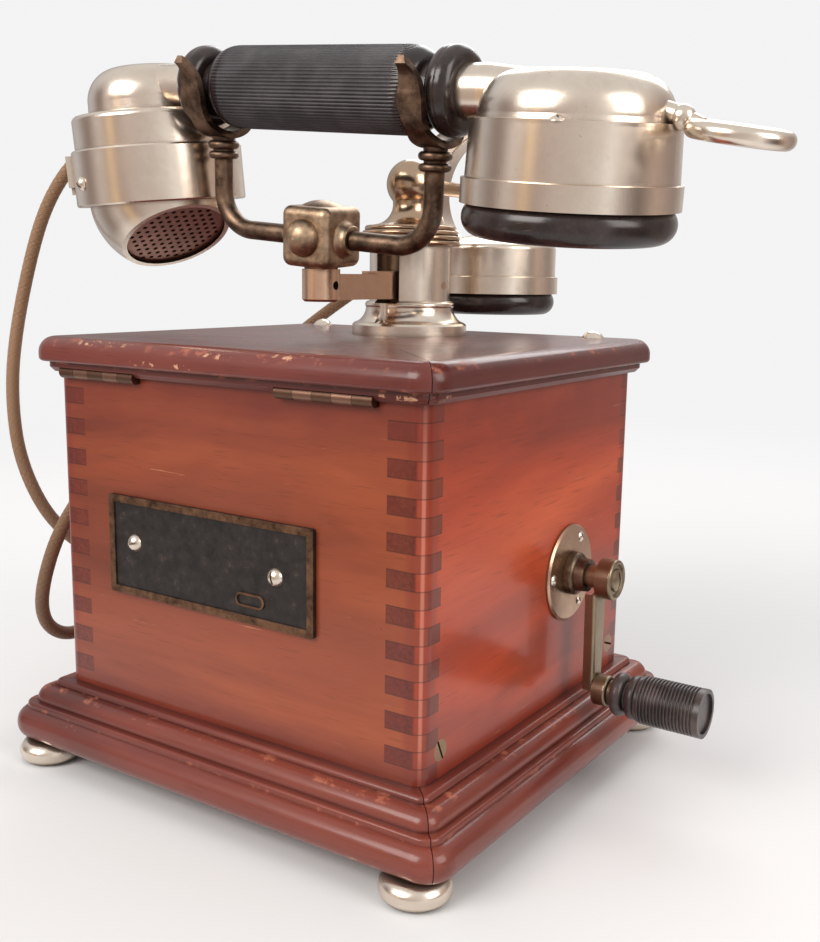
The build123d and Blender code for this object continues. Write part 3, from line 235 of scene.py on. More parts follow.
def make_cord(name, route, node, tail):
    """One stretch of a cord, running between two bodies; a tail runs on inside the next stretch."""
    line = smooth_line(route)
    full = sum((b - a).length for a, b in zip(line, line[1:]))
    places, total = evenly(line + list(tail), RING_STEP)
    piece = braided_tube(name, places, total, CORD_D / 2, full)
    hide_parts(node)
    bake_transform(piece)
    return piece


def first_part(route, reach):
    """The start of a route's line, up to a distance from its first point."""
    line = smooth_line(route)
    return [place for place in line[1:] if (place - line[0]).length <= reach]


HOOK_STRETCH = first_part(list(reversed(HANDSET_CORD_UPPER)), TAIL_LENGTH)
CORD_STRETCHES = (
    ("handset_cord_top", HANDSET_CORD_UPPER, "handset_cord_upper", ("cradle", "handset"), ()),
    ("handset_cord_bottom", HANDSET_CORD_LOWER, "handset_cord_lower", ("box", "lid"), HOOK_STRETCH),
    ("second_cord_top", AUX_CORD_UPPER, "aux_cord_upper", ("lid", "second_receiver"), ()),
    ("second_cord_bottom", AUX_CORD_LOWER, "aux_cord_lower", ("box", "lid"), ()),
)
CORDS = [
    make_cord(name, list(reversed(route)), node, tail)
    for name, route, node, bodies, tail in CORD_STRETCHES
]

# ---------- material kit ----------


def fill_ramp(node, stops):
    """Sets the stops of a colour ramp, each a position and a colour."""
    elements = node.color_ramp.elements
    while len(elements) < len(stops):
        elements.new(0.5)
    for element, (position, colour) in zip(elements, stops):
        element.position = position
        element.color = (*colour, 1.0)


class Shade:
    """A node material under construction. Every call returns the new node's output."""

    def __init__(self, name, **surface):
        self.material = bpy.data.materials.new(name)
        self.material.use_nodes = True
        self.tree = self.material.node_tree
        self.surface = self.tree.nodes["Principled BSDF"]
        self.place = self.add("TexCoord", "Object")
        self.facing = self.add("TexCoord", "Normal")
        for key, value in surface.items():
            self.set(key, value)

    def set(self, key, value):
        self.feed(self.surface.inputs[key.replace("_", " ")], value)

    def feed(self, socket, value):
        if isinstance(value, bpy.types.NodeSocket):
            self.tree.links.new(value, socket)
        else:
            socket.default_value = value

    def add(self, kind, output=0, settings=(), **inputs):
        node = self.tree.nodes.new("ShaderNode" + kind)
        for key, value in dict(settings).items():
            setattr(node, key, value)
        for key, value in inputs.items():
            self.feed(node.inputs[key.replace("_", " ")], value)
        return node.outputs[output]

    def stretched(self, x, y, z):
        """Places scaled along each axis, in features per metre."""
        return self.add("Mapping", Vector=self.place, Scale=(x, y, z))

    def noise(self, vector, scale=1.0, detail=3.0, roughness=0.5, distortion=0.0):
        return self.add("TexNoise", Vector=vector, Scale=scale, Detail=detail,
                        Roughness=roughness, Distortion=distortion)

    def sums(self, operation, a, b=0.0, c=0.0):
        node = self.tree.nodes.new("ShaderNodeMath")
        node.operation = operation
        for socket, value in zip(node.inputs, (a, b, c)):
            self.feed(socket, value)
        return node.outputs[0]

    def ramp(self, value, *stops):
        """Colours along a 0 to 1 value; each stop is a position and a colour."""
        node = self.tree.nodes.new("ShaderNodeValToRGB")
        self.feed(node.inputs[0], value)
        fill_ramp(node, stops)
        return node.outputs[0]

    def fade(self, value, low, high):
        """0 below low and 1 above high, or the other way when low is the larger."""
        node = self.tree.nodes.new("ShaderNodeMapRange")
        node.interpolation_type = "SMOOTHSTEP"
        turned = low > high
        numbers = (value, min(low, high), max(low, high), float(turned), float(not turned))
        for socket, number in zip(node.inputs, numbers):
            self.feed(socket, number)
        return node.outputs[0]

    def range(self, value, low, high):
        """A 0 to 1 value spread between low and high."""
        node = self.tree.nodes.new("ShaderNodeMapRange")
        for socket, number in zip(node.inputs, (value, 0.0, 1.0, low, high)):
            self.feed(socket, number)
        return node.outputs[0]

    def mix(self, share, a, b):
        """The first colour at a share of 0, the second at 1."""
        node = self.tree.nodes.new("ShaderNodeMix")
        node.data_type = "RGBA"
        for index, value in ((0, share), (6, a), (7, b)):
            if isinstance(value, tuple) and len(value) == 3:
                value = (*value, 1.0)
            self.feed(node.inputs[index], value)
        return node.outputs[2]

    def axis(self, vector, index):
        return self.add("SeparateXYZ", index, Vector=vector)

    def bump(self, height, distance, strength=1.0, below=None):
        node = self.tree.nodes.new("ShaderNodeBump")
        for key, value in (("Height", height), ("Distance", distance), ("Strength", strength)):
            self.feed(node.inputs[key], value)
        if below is not None:
            self.feed(node.inputs["Normal"], below)
        return node.outputs[0]

    def crevice(self, distance):
        """1 in the open, towards 0 where surfaces meet."""
        return self.add("AmbientOcclusion", "AO", {"samples": 6}, Distance=distance)

    def near(self, x, y, z, reach):
        """1 at a point of the box's frame, falling to 0 at reach."""
        gap = self.add("VectorMath", "Value", {"operation": "DISTANCE"}, Vector=self.place)
        node = gap.node
        node.inputs[1].default_value = at_box(x, y, z)
        return self.fade(gap, reach, reach * 0.6)


def linear(r, g, b):
    """A colour written as screen values from 0 to 255."""
    return tuple(((v / 255 + 0.055) / 1.055) ** 2.4 if v > 10 else v / 255 / 12.92 for v in (r, g, b))


# ---------- wood ----------

def wood_grain(s, along, light, mid, dark):
    """Mahogany: broad figure, fine streaks and short dark pores, all along one axis."""
    def stretch(fine, long):
        return s.stretched(*[long if axis == along else fine for axis in "XYZ"])

    figure = s.noise(stretch(26, 5), detail=4, roughness=0.55, distortion=0.6)
    streaks = s.noise(stretch(420, 14), detail=4, roughness=0.6)
    pores = s.noise(stretch(1700, 75), detail=2)
    patches = s.noise(s.place, scale=14, detail=2)
    colour = s.ramp(figure, (0.30, dark), (0.48, mid), (0.70, light))
    colour = s.mix(s.range(streaks, 0.0, 0.55), colour, s.mix(0.6, colour, dark))
    colour = s.mix(s.fade(pores, 0.60, 0.70), colour, s.mix(0.3, colour, (0.03, 0.008, 0.004)))
    colour = s.mix(s.range(patches, 0.0, 0.35), colour, s.mix(0.5, colour, mid))
    return colour, streaks, pores


def varnish(s, streaks, pores, wear=None):
    """A glossy coat that follows the wood unevenly."""
    wavy = s.noise(s.place, scale=45, detail=2)
    skin = s.bump(wavy, 0.0006, 0.25)
    skin = s.bump(streaks, 0.00008, 0.5, skin)
    s.set("Normal", s.bump(pores, 0.00006, 0.6, skin))
    smears = s.noise(s.place, scale=60, detail=5, roughness=0.65)
    rough = s.range(smears, 0.22, 0.42)
    if wear is not None:
        rough = s.sums("ADD", rough, s.sums("MULTIPLY", wear, 0.35))
    s.set("Roughness", rough)
    s.set("Specular_IOR_Level", 0.3)
    s.set("Coat_Weight", 0.35)
    s.set("Coat_Roughness", 0.12)


def panel_wood(name, along, tones, end_axis, end_low, end_high):
    """A panel of the box, darker at its corners, its end grain and the joints of its fingers."""
    s = Shade(name)
    colour, streaks, pores = wood_grain(s, along, *tones)
    ends = s.fade(s.sums("ABSOLUTE", s.axis(s.facing, "XYZ".index(end_axis))), 0.90, 0.98)
    grain = s.noise(s.place, scale=900, detail=3)
    end_colour = s.ramp(grain, (0.3, linear(72, 26, 20)), (0.7, linear(98, 40, 30)))
    height = s.axis(s.place, 2)
    middle = (BASE_TOP + LID_BOTTOM) / 2
    shown = s.range(s.fade(height, middle - 0.02, middle + 0.03), end_low, end_high)
    x = s.sums("ABSOLUTE", s.sums("SUBTRACT", s.axis(s.place, 0), MIDDLE.x))
    y = s.sums("ABSOLUTE", s.sums("SUBTRACT", s.axis(s.place, 1), MIDDLE.y))
    arris = s.sums("MULTIPLY", s.fade(x, BOX_HALF_X - 0.0075, BOX_HALF_X - 0.0050),
                   s.fade(y, BOX_HALF_Y - 0.0085, BOX_HALF_Y - 0.0050))
    colour = s.mix(s.sums("MULTIPLY", arris, 0.6), colour, linear(124, 48, 34))
    # Painted highlight: a pale line down the middle of each rounded vertical corner, where the surface
    # faces halfway between front and side.
    facing_x, facing_y = [s.sums("ABSOLUTE", s.axis(s.facing, index)) for index in (0, 1)]
    slant = s.sums("SUBTRACT", facing_x, facing_y)
    painted_arris_highlight = s.fade(s.sums("ABSOLUTE", slant), 0.26, 0.08)
    colour = s.mix(s.sums("MULTIPLY", ends, shown), colour, end_colour)
    # The painted highlight on the corners goes on here, over the end grain.
    colour = s.mix(s.sums("MULTIPLY", painted_arris_highlight, 0.4), colour, linear(222, 146, 124))
    # Painted shade with soiling: darker in a band under the lid's overhang and a narrower band above the
    # base moulding, broken up by noise.
    grime_and_shade = s.noise(s.place, scale=70, detail=4)
    top = s.fade(height, LID_BOTTOM - 0.030, LID_BOTTOM)
    foot = s.fade(height, BASE_TOP + 0.014, BASE_TOP)
    shade_and_dirt = s.sums("MULTIPLY", s.sums("MAXIMUM", top, foot), s.range(grime_and_shade, 0.35, 1.0))
    colour = s.mix(shade_and_dirt, colour, linear(104, 40, 32))
    step = s.sums("FRACT", s.sums("DIVIDE", s.sums("SUBTRACT", LID_BOTTOM, height), FINGER))
    face = s.sums("LESS_THAN", s.sums("ABSOLUTE", s.sums("SUBTRACT", step, 0.5)), FINGER_FACE)
    corner = s.sums("MULTIPLY", s.sums("GREATER_THAN", x, BOX_HALF_X - SIDE_WALL),
                    s.sums("GREATER_THAN", y, BOX_HALF_Y - FRONT_WALL))
    seam = s.sums("MULTIPLY", corner, s.sums("SUBTRACT", 1.0, face))
    colour = s.mix(s.sums("MULTIPLY", seam, 0.5), colour, (0.02, 0.006, 0.004))
    scratch = s.noise(s.stretched(30, 30, 700), detail=4, roughness=0.7)
    colour = s.mix(s.sums("MULTIPLY", s.fade(scratch, 0.69, 0.76), 0.35), colour, linear(222, 170, 128))
    s.set("Base_Color", colour)
    varnish(s, streaks, pores)
    return s.material


def moulding_wood(name, tones, edges, chips):
    """A moulded frame of four strips, each with its grain along its own length."""
    s = Shade(name)
    x = s.sums("SUBTRACT", s.axis(s.place, 0), MIDDLE.x)
    y = s.sums("SUBTRACT", s.axis(s.place, 1), MIDDLE.y)
    out_x = s.sums("SUBTRACT", s.sums("ABSOLUTE", x), BOX_HALF_X)
    out_y = s.sums("SUBTRACT", s.sums("ABSOLUTE", y), BOX_HALF_Y)
    sideways = s.sums("GREATER_THAN", out_x, out_y)
    colour_x, streaks_x, pores_x = wood_grain(s, "X", *tones)
    colour_y, streaks_y, pores_y = wood_grain(s, "Y", *tones)
    colour = s.mix(sideways, colour_x, colour_y)
    streaks = s.mix(sideways, streaks_x, streaks_y)
    pores = s.mix(sideways, pores_x, pores_y)
    mitre = s.sums("LESS_THAN", s.sums("ABSOLUTE", s.sums("SUBTRACT", out_x, out_y)), 0.0003)
    colour = s.mix(s.sums("MULTIPLY", mitre, 0.3), colour, (0.012, 0.004, 0.004))
    # Painted shade and soiling: near black where surfaces meet, from ambient occlusion.
    shade_and_dirt = s.fade(s.crevice(0.005), 0.85, 0.35)
    colour = s.mix(s.sums("MULTIPLY", shade_and_dirt, 0.8), colour, linear(38, 18, 16))
    height = s.axis(s.place, 2)
    rub = s.noise(s.place, scale=160, detail=5, roughness=0.7)
    wear = 0.0
    for level, half in edges:
        band = s.fade(s.sums("ABSOLUTE", s.sums("SUBTRACT", height, level)), half, half * 0.3)
        band = s.sums("MULTIPLY", band, s.fade(rub, 0.54, 0.66))
        wear = s.sums("MAXIMUM", wear, band)
    colour = s.mix(s.sums("MULTIPLY", wear, 0.55), colour, linear(186, 112, 84))
    flakes = s.noise(s.place, scale=420, detail=3, roughness=0.6)
    bare = 0.0
    for px, py, pz, reach in chips:
        level = s.fade(s.sums("ABSOLUTE", s.sums("SUBTRACT", height, pz)), 0.0011, 0.0003)
        spot = s.sums("MULTIPLY", s.near(px, py, pz, reach), level)
        spot = s.sums("MULTIPLY", spot, s.fade(flakes, 0.54, 0.60))
        bare = s.sums("MAXIMUM", bare, spot)
    colour = s.mix(s.sums("MULTIPLY", bare, 0.8), colour, linear(206, 158, 124))
    s.set("Base_Color", colour)
    varnish(s, streaks, pores, s.sums("MAXIMUM", wear, bare))
    return s.material


# ---------- metals ----------

def plated(name, bright, dull, rough, grime_and_shade):
    """Plated metal with thin scratches, cloudy tarnish, and soiling with painted shade in its corners."""
    s = Shade(name, Metallic=1.0)
    clouds = s.noise(s.place, scale=120, detail=6, roughness=0.65)
    spots = s.noise(s.place, scale=900, detail=3)
    colour = s.mix(s.range(clouds, 0.0, 0.9), bright, dull)
    colour = s.mix(s.sums("MULTIPLY", s.fade(spots, 0.68, 0.76), 0.3), colour, grime_and_shade)
    # Painted shade and soiling: the soiling tone where surfaces meet, from ambient occlusion; the same mask
    # also roughens the surface.
    shade_and_dirt = s.fade(s.crevice(0.003), 0.80, 0.30)
    colour = s.mix(s.sums("MULTIPLY", shade_and_dirt, 0.85), colour, grime_and_shade)
    s.set("Base_Color", colour)
    hair = s.noise(s.stretched(2200, 260, 260), detail=3, roughness=0.6)
    s.set("Roughness", s.sums("ADD", s.range(clouds, rough[0], rough[1]), s.sums("MULTIPLY", shade_and_dirt, 0.3)))
    wavy = s.bump(s.noise(s.place, scale=90, detail=2), 0.0003, 0.18)
    s.set("Normal", s.bump(hair, 0.00003, 0.35, wavy))
    return s.material


def patina(name, high, low, green):
    """Dull bronze, brown with a grey-green bloom and worn high spots, with painted shade and soiling where
    surfaces meet.
    """
    s = Shade(name, Metallic=1.0)
    clouds = s.noise(s.place, scale=170, detail=6, roughness=0.7)
    bloom = s.noise(s.place, scale=380, detail=4, roughness=0.6)
    colour = s.mix(s.fade(clouds, 0.35, 0.65), low, high)
    colour = s.mix(s.sums("MULTIPLY", s.fade(bloom, 0.56, 0.70), 0.7), colour, green)
    # Painted shade and soiling: near black where surfaces meet, from ambient occlusion.
    shade_and_dirt = s.fade(s.crevice(0.003), 0.85, 0.35)
    colour = s.mix(s.sums("MULTIPLY", shade_and_dirt, 0.8), colour, (0.02, 0.015, 0.01))
    s.set("Base_Color", colour)
    s.set("Roughness", s.range(clouds, 0.28, 0.52))
    s.set("Normal", s.bump(bloom, 0.00012, 0.5))
    return s.material


def bare_metal(name, colour_a, colour_b, rough):
    """Unplated iron or steel, faintly mottled."""
    s = Shade(name, Metallic=1.0)
    clouds = s.noise(s.place, scale=300, detail=5, roughness=0.6)
    s.set("Base_Color", s.mix(clouds, colour_a, colour_b))
    s.set("Roughness", s.range(clouds, rough[0], rough[1]))
    s.set("Normal", s.bump(clouds, 0.0001, 0.3))
    return s.material


# ---------- ebonite, plate, cord, inner pieces ----------

def ebonite(name, high, low, rough):
    """Hard rubber, black with a brown bloom and hairline scratches."""
    s = Shade(name)
    clouds = s.noise(s.place, scale=110, detail=5, roughness=0.6)
    colour = s.mix(s.fade(clouds, 0.35, 0.7), low, high)
    hair = s.noise(s.stretched(260, 1800, 1800), detail=3)
    colour = s.mix(s.sums("MULTIPLY", s.fade(hair, 0.66, 0.74), 0.25), colour, linear(120, 104, 96))
    # Painted shade and soiling: near black where surfaces meet, from ambient occlusion.
    shade_and_dirt = s.fade(s.crevice(0.0012), 0.8, 0.3)
    colour = s.mix(s.sums("MULTIPLY", shade_and_dirt, 0.6), colour, (0.008, 0.006, 0.005))
    s.set("Base_Color", colour)
    s.set("Roughness", s.range(clouds, rough[0], rough[1]))
    s.set("Normal", s.bump(hair, 0.00003, 0.3))
    return s.material


def grip_rubber(name):
    """The grip's ebonite: dulled by hands between the ribs, and glossy on its plain shoulders."""
    s = Shade(name)
    clouds = s.noise(s.place, scale=110, detail=5, roughness=0.6)
    gap = s.add("VectorMath", "Value", {"operation": "DISTANCE"}, Vector=s.place)
    gap.node.inputs[1].default_value = GRIP_CENTRE
    shoulder = s.fade(gap, SHOULDER_START, SHOULDER_START + 0.0008)
    dull = s.mix(s.fade(clouds, 0.35, 0.7), linear(36, 34, 37), linear(62, 59, 62))
    glossy = s.mix(clouds, linear(28, 22, 24), linear(48, 38, 38))
    s.set("Base_Color", s.mix(shoulder, dull, glossy))
    s.set("Roughness", s.sums("SUBTRACT", s.range(clouds, 0.32, 0.5), s.sums("MULTIPLY", shoulder, 0.2)))
    s.set("Normal", s.bump(clouds, 0.00004, 0.3))
    return s.material


def blackened_plate(name):
    """The nameplate: a bare bronze rim round a blackened field, worn in places."""
    s = Shade(name)
    low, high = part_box("nameplate")
    depth = s.axis(s.place, 1)
    raised = s.fade(depth, low[1] + 0.0004, low[1] + 0.0001)
    rub = s.noise(s.place, scale=260, detail=6, roughness=0.7)
    field = s.ramp(rub, (0.35, linear(22, 18, 17)), (0.6, linear(44, 38, 36)), (0.78, linear(96, 78, 66)))
    rim = s.ramp(rub, (0.3, linear(62, 46, 36)), (0.7, linear(136, 102, 78)))
    s.set("Base_Color", s.mix(raised, field, rim))
    s.set("Metallic", s.range(raised, 0.35, 0.95))
    s.set("Roughness", s.range(rub, 0.35, 0.6))
    s.set("Normal", s.bump(rub, 0.0001, 0.35))
    return s.material


def cotton_braid(name):
    """Tan cotton over the cord: light threads with painted shade in the gaps between them, and darker
    patches lower down.
    """
    s = Shade(name, Roughness=0.85, Sheen_Weight=0.25, Sheen_Roughness=0.5)
    height = s.add("Attribute", "Fac", {"attribute_name": "braid_height"})
    fibre = s.noise(s.place, scale=2600, detail=3)
    blotching = s.noise(s.place, scale=55, detail=4, roughness=0.6)
    thread = s.mix(fibre, linear(134, 100, 72), linear(186, 146, 112))
    # Painted shade: dark in the gaps between the raised strands, light on their crests.
    colour = s.mix(s.range(height, 0.0, 1.0), linear(58, 42, 28), thread)
    # Darker in patches lower down: fading in below 0.14 m, full below 0.05 m.
    lower = s.fade(s.axis(s.place, 2), 0.14, 0.05)
    colour = s.mix(s.sums("MULTIPLY", lower, s.range(blotching, 0.3, 0.8)), colour, linear(88, 62, 44))
    s.set("Base_Color", colour)
    s.set("Normal", s.bump(fibre, 0.0001, 0.5))
    return s.material


def wound_silk(name, light, dark):
    """Fine turns of covered wire."""
    s = Shade(name, Roughness=0.6)
    turns = s.sums("SINE", s.sums("MULTIPLY", s.axis(s.place, 0), 2 * math.pi / 0.0007))
    fibre = s.noise(s.place, scale=900, detail=3)
    colour = s.mix(s.range(turns, 0.3, 0.7), dark, light)
    s.set("Base_Color", s.mix(s.sums("MULTIPLY", fibre, 0.5), colour, dark))
    s.set("Normal", s.bump(turns, 0.0002, 0.6))
    return s.material


# ---------- pieces made here ----------

RIBS = 72
RIB_DEPTH = 0.00045
GRIP_RADIUS = 0.0135
GRIP_END_RADIUS = 0.0088
GRIP_HALF = 0.042
GRIP_SHOULDER = 0.0075
SHOULDER_START = math.hypot(GRIP_HALF - GRIP_SHOULDER, GRIP_RADIUS)


def ribbed_grip():
    """The grip with its fine ribs, which fade out on the rounded ends."""
    around = RIBS * 6
    rings = []
    for i in range(13):
        angle = math.pi / 2 * i / 12
        out = GRIP_END_RADIUS + (GRIP_RADIUS - GRIP_END_RADIUS) * math.sin(angle)
        rings.append((-GRIP_HALF + GRIP_SHOULDER * (1 - math.cos(angle)), out, math.sin(angle) ** 16))
    straight = GRIP_HALF - GRIP_SHOULDER
    rings += [(straight * (i / 12 - 1), GRIP_RADIUS, 1.0) for i in range(1, 24)]
    rings += [(-x, r, share) for x, r, share in reversed(rings[:13])]
    turn = Matrix.Translation(GRIP_CENTRE) @ HEAD_TURN
    vertices = []
    for x, radius, share in rings:
        for k in range(around):
            angle = 2 * math.pi * k / around
            crest = abs(math.sin(RIBS * angle / 2)) ** 0.7
            out = radius - RIB_DEPTH * share * (1 - crest)
            vertices.append(turn @ Vector((x, out * math.cos(angle), out * math.sin(angle))))
    faces = []
    for i in range(len(rings) - 1):
        for k in range(around):
            a = i * around + k
            b = i * around + (k + 1) % around
            faces.append((a, b, b + around, a + around))
    faces.append(tuple(reversed(range(around))))
    last = (len(rings) - 1) * around
    faces.append(tuple(range(last, last + around)))
    piece = mesh_object("ribbed_grip", vertices, faces)
    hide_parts("handle_grip")
    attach(piece, "handset")
    return piece


GRIP = ribbed_grip()

# ---------- materials on the pieces ----------

# Each metal's bright and dull tones, its least and greatest roughness, and its soiling tone, which also
# paints shade into its corners.
PLATINGS = {
    "nickel": ((240, 228, 214), (208, 192, 176), (0.17, 0.30), (104, 84, 68)),
    "warm_nickel": ((232, 196, 168), (198, 158, 130), (0.18, 0.34), (74, 54, 40)),
    "dull_nickel": ((166, 148, 124), (120, 104, 86), (0.24, 0.42), (50, 38, 30)),
    "stained_nickel": ((208, 176, 150), (172, 138, 114), (0.20, 0.38), (84, 60, 46)),
    "dark_bronze": ((196, 170, 144), (170, 142, 118), (0.14, 0.28), (54, 40, 32)),
    "brass": ((200, 160, 92), (168, 128, 70), (0.22, 0.40), (70, 50, 26)),
    "dark_hinge": ((120, 92, 76), (84, 62, 52), (0.30, 0.50), (36, 26, 22)),
    "pale_hinge": ((148, 114, 98), (112, 84, 70), (0.30, 0.45), (50, 36, 30)),
    "stained_grille": ((176, 134, 118), (136, 100, 88), (0.30, 0.50), (30, 20, 16)),
    "stained_screws": ((176, 146, 118), (140, 112, 88), (0.25, 0.40), (50, 36, 26)),
}
METALS = {
    name: plated(name, linear(*bright), linear(*dull), rough, linear(*grime_and_shade))
    for name, (bright, dull, rough, grime_and_shade) in PLATINGS.items()
}
WORN_BRONZE = patina("worn_bronze", linear(198, 170, 142), linear(138, 114, 94), linear(150, 152, 130))
DARK_BRONZE = patina("dark_patina", linear(132, 108, 90), linear(80, 64, 54), linear(98, 98, 84))
STEEL = bare_metal("bare_steel", linear(150, 150, 150), linear(104, 104, 106), (0.25, 0.45))
MAGNET_IRON = bare_metal("magnet_iron", linear(96, 92, 90), linear(60, 58, 58), (0.4, 0.6))
BLACK = ebonite("ebonite", linear(56, 44, 42), linear(30, 23, 23), (0.14, 0.30))
WORN_BLACK = ebonite("worn_ebonite", linear(84, 72, 70), linear(46, 38, 38), (0.25, 0.42))

# Light, middle and dark tones of each wood.
FRONT_TONES = (linear(172, 88, 50), linear(140, 66, 39), linear(96, 42, 27))
SIDE_TONES = (linear(210, 94, 50), linear(176, 68, 38), linear(120, 44, 26))
BASE_TONES = (linear(138, 66, 50), linear(106, 47, 38), linear(68, 30, 26))
LID_TONES = (linear(124, 60, 50), linear(96, 41, 36), linear(60, 26, 24))

# Rubbed edges: a height and half its band. Chips: a place from the middle of the box, and a reach.
LID_EDGES = ((LID_TOP - 0.0015, 0.0022), (LID_TOP - 0.0085, 0.0012))
LID_CHIPS = (
    (-0.018, -0.076, LID_TOP - 0.0065, 0.016),
    (-0.048, -0.077, LID_TOP - 0.0012, 0.014),
    (0.004, -0.077, LID_TOP - 0.0025, 0.007),
    (0.034, -0.076, LID_TOP - 0.0015, 0.010),
    (0.074, -0.073, LID_TOP - 0.0105, 0.015),
    (0.066, 0.070, LID_TOP - 0.0015, 0.006),
)
BASE_EDGES = ((BASE_BOTTOM + 0.0120, 0.0009), (BASE_BOTTOM + 0.0186, 0.0010))
BASE_CHIPS = (
    (0.066, -0.0865, BASE_BOTTOM + 0.0022, 0.006),
    (-0.060, -0.0865, BASE_BOTTOM + 0.011, 0.004),
)
FRONT_WOOD = panel_wood("front_wood", "X", FRONT_TONES, "X", 0.7, 0.2)
SIDE_WOOD = panel_wood("side_wood", "Y", SIDE_TONES, "Y", 0.9, 0.9)
BASE_WOOD = moulding_wood("base_wood", BASE_TONES, BASE_EDGES, BASE_CHIPS)
LID_WOOD = moulding_wood("lid_wood", LID_TONES, LID_EDGES, LID_CHIPS)

# Every node that isn't named here is nickel.
SHARED_LOOKS = (
    (FRONT_WOOD, ("front_panel", "rear_panel", "terminal_strip")),
    (SIDE_WOOD, ("left_panel", "right_panel")),
    (BASE_WOOD, ("base_moulding", "base_board")),
    (LID_WOOD, ("lid_moulding", "lid_panel")),
    (blackened_plate("name_plate"), ("nameplate",)),
    (METALS["warm_nickel"], ("hook_lever", "lever_pivot_pin")),
    (METALS["dull_nickel"], ("crank_shaft", "crank_arm")),
    (METALS["stained_nickel"], ("escutcheon",)),
    (METALS["dark_bronze"], ("column_cap", "aux_hook_arm")),
    (METALS["brass"], ("magneto_frame", "drive_gear", "cord_glands", "switch_springs", "switch_plunger")),
    (METALS["dark_hinge"], ("hinge_box_leaves",)),
    (METALS["pale_hinge"], ("hinge_lid_leaves",)),
    (METALS["stained_grille"], ("mouth_grille",)),
    (METALS["stained_screws"], ("panel_screws",)),
    (WORN_BRONZE, ("cradle_block", "block_caps")),
    (DARK_BRONZE, ("fork_rod", "saddles", "shaft_bush")),
    (STEEL, ("armature", "handle_tube", "receiver_diaphragm", "transmitter_capsule")),
    (MAGNET_IRON, ("magneto_magnets",)),
    (BLACK, ("handle_beads", "receiver_cap", "aux_cap")),
    (WORN_BLACK, ("crank_grip",)),
    (wound_silk("green_silk", linear(74, 104, 70), linear(30, 46, 30)), ("induction_coil",)),
)
LOOKS = {node_name: look for look, node_names in SHARED_LOOKS for node_name in node_names}

for node_name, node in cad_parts.items():
    look = LOOKS.get(node_name, METALS["nickel"])
    node.data.materials.clear()
    node.data.materials.append(look)

GRIP.data.materials.append(grip_rubber("ribbed_ebonite"))
BRAID = cotton_braid("cotton_braid")
for cord_piece in CORDS:
    cord_piece.data.materials.append(BRAID)

# ---------- floor, lights and surroundings ----------

FLOOR_REACH = 6.0
PAPER = (0.90, 0.90, 0.90)


def bearing_share(degrees):
    """Where a bearing, counted from +X towards +Y, falls on the ring of walls."""
    return (degrees + 180) / 360


WALLS = [(bearing_share(degrees), colour) for degrees, colour in (
    (-180, (0.60, 0.60, 0.62)),
    (-150, (0.26, 0.20, 0.18)),
    (-128, (0.70, 0.64, 0.62)),
    (-116, (0.42, 0.34, 0.30)),
    (-109, (1.0, 0.72, 0.40)),
    (-101, (0.36, 0.28, 0.26)),
    (-78, (0.60, 0.53, 0.50)),
    (-56, (0.66, 0.61, 0.58)),
    (-38, (0.78, 0.74, 0.72)),
    (-24, (1.0, 1.0, 1.0)),
    (-12, (0.42, 0.36, 0.34)),
    (4, (0.07, 0.05, 0.04)),
    (28, (0.56, 0.44, 0.38)),
    (60, (0.34, 0.28, 0.26)),
    (100, (0.66, 0.62, 0.60)),
    (140, (0.36, 0.34, 0.33)),
    (180, (0.60, 0.60, 0.62)),
)]


def pale_floor():
    """A plain floor that runs out into the background's tone, and in metal into the walls'."""
    corners = [(sx * FLOOR_REACH, sy * FLOOR_REACH, 0.0) for sx, sy in ((-1, -1), (1, -1), (1, 1), (-1, 1))]
    floor = mesh_object("floor", corners, [(0, 1, 2, 3)], smooth=False)
    s = Shade("floor_paint", Roughness=0.9)
    clouds = s.noise(s.place, scale=3, detail=2)
    gap = s.add("VectorMath", "Value", {"operation": "LENGTH"}, Vector=s.place)
    bearing = s.sums("ARCTAN2", s.axis(s.place, 1), s.axis(s.place, 0))
    walls = s.ramp(s.sums("MULTIPLY_ADD", bearing, 0.5 / math.pi, 0.5), *WALLS)
    seen = s.add("LightPath", "Is Camera Ray")
    seen_far = s.sums("MULTIPLY", seen, s.fade(gap, 0.45, 1.1))
    mirrored_far = s.sums("MULTIPLY", s.sums("SUBTRACT", 1.0, seen), s.fade(gap, 0.20, 0.45))
    far = s.sums("ADD", seen_far, mirrored_far)
    near_tone = s.mix(clouds, (0.70, 0.71, 0.72), (0.73, 0.74, 0.75))
    s.set("Base_Color", s.mix(far, near_tone, (0.0, 0.0, 0.0)))
    s.set("Specular_IOR_Level", 0.0)
    s.set("Emission_Color", s.mix(seen, walls, PAPER))
    s.set("Emission_Strength", far)
    floor.data.materials.append(s.material)


def softbox(name, place, target, size, power, colour):
    """A rectangular light at one place, aimed at another, both counted from under the box's middle."""
    data = bpy.data.lights.new(name, "AREA")
    data.shape = "RECTANGLE"
    data.size, data.size_y = size
    data.energy = power
    data.color = colour
    lamp = bpy.data.objects.new(name, data)
    aim = (at_box(*target) - at_box(*place)).to_track_quat("-Z", "Y")
    lamp.matrix_world = Matrix.Translation(at_box(*place)) @ aim.to_matrix().to_4x4()
    bpy.context.scene.collection.objects.link(lamp)


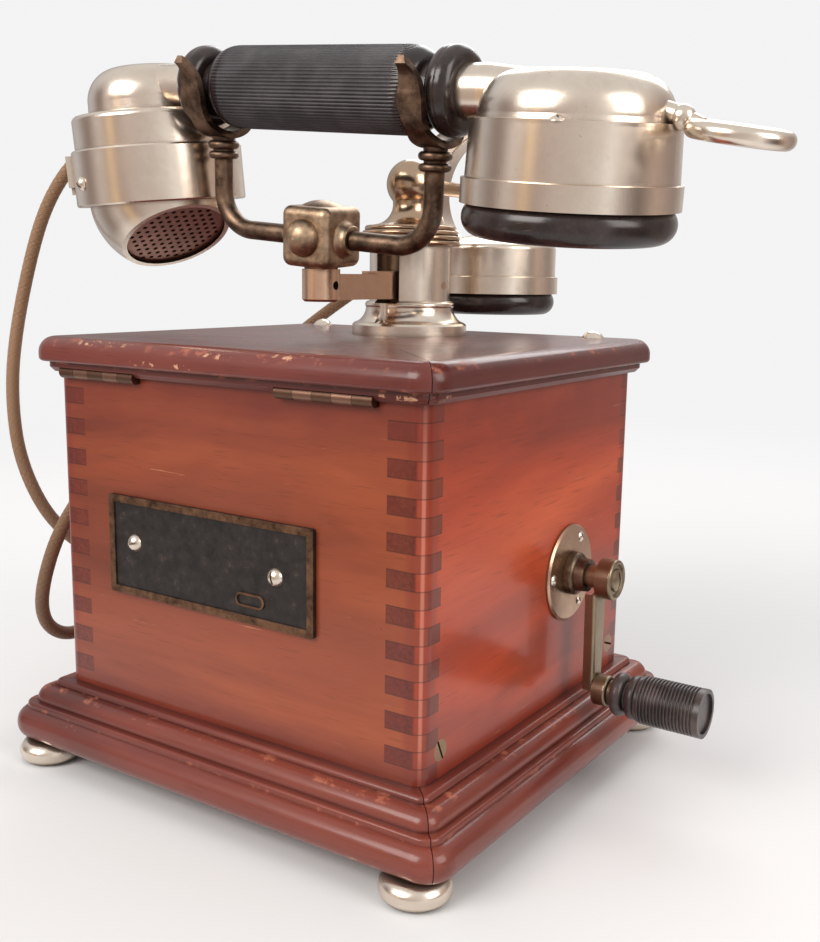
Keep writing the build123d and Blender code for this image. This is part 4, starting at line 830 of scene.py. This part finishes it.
def surroundings():
    """Plain paper behind the object, and for metal to reflect a room with a window and a lamp."""
    world = bpy.data.worlds.new("room")
    bpy.context.scene.world = world
    world.use_nodes = True
    tree = world.node_tree
    background = tree.nodes["Background"]
    where = tree.nodes.new("ShaderNodeTexCoord").outputs["Generated"]
    split = tree.nodes.new("ShaderNodeSeparateXYZ")
    tree.links.new(where, split.inputs[0])
    bearing = tree.nodes.new("ShaderNodeMath")
    bearing.operation = "ARCTAN2"
    tree.links.new(split.outputs[1], bearing.inputs[0])
    tree.links.new(split.outputs[0], bearing.inputs[1])
    around = tree.nodes.new("ShaderNodeMapRange")
    tree.links.new(bearing.outputs[0], around.inputs[0])
    around.inputs[1].default_value = -math.pi
    around.inputs[2].default_value = math.pi
    walls = tree.nodes.new("ShaderNodeValToRGB")
    walls.color_ramp.interpolation = "EASE"
    tree.links.new(around.outputs[0], walls.inputs[0])
    fill_ramp(walls, WALLS)
    height = tree.nodes.new("ShaderNodeValToRGB")
    tree.links.new(split.outputs[2], height.inputs[0])
    fill_ramp(height, ((0.30, (0.0, 0.0, 0.0)), (0.70, (1.0, 1.0, 1.0))))
    room = tree.nodes.new("ShaderNodeMix")
    room.data_type = "RGBA"
    tree.links.new(height.outputs[0], room.inputs[0])
    tree.links.new(walls.outputs[0], room.inputs[6])
    room.inputs[7].default_value = (0.80, 0.79, 0.78, 1.0)
    seen = tree.nodes.new("ShaderNodeLightPath").outputs["Is Camera Ray"]
    plain = tree.nodes.new("ShaderNodeMix")
    plain.data_type = "RGBA"
    tree.links.new(seen, plain.inputs[0])
    tree.links.new(room.outputs[2], plain.inputs[6])
    plain.inputs[7].default_value = (*PAPER, 1.0)
    tree.links.new(plain.outputs[2], background.inputs["Color"])
    background.inputs["Strength"].default_value = 1.0


pale_floor()
softbox("key", (-0.35, -1.3, 0.95), (0, 0, 0.12), (1.0, 0.8), 19, (1.0, 0.97, 0.93))
softbox("side", (1.5, -0.1, 0.8), (0, 0, 0.1), (0.8, 1.0), 12, (1.0, 0.95, 0.9))
softbox("back", (-0.4, 1.3, 1.2), (0, 0, 0.15), (1.2, 0.8), 10, (1.0, 1.0, 1.0))
surroundings()
bpy.context.scene.view_settings.view_transform = "Standard"
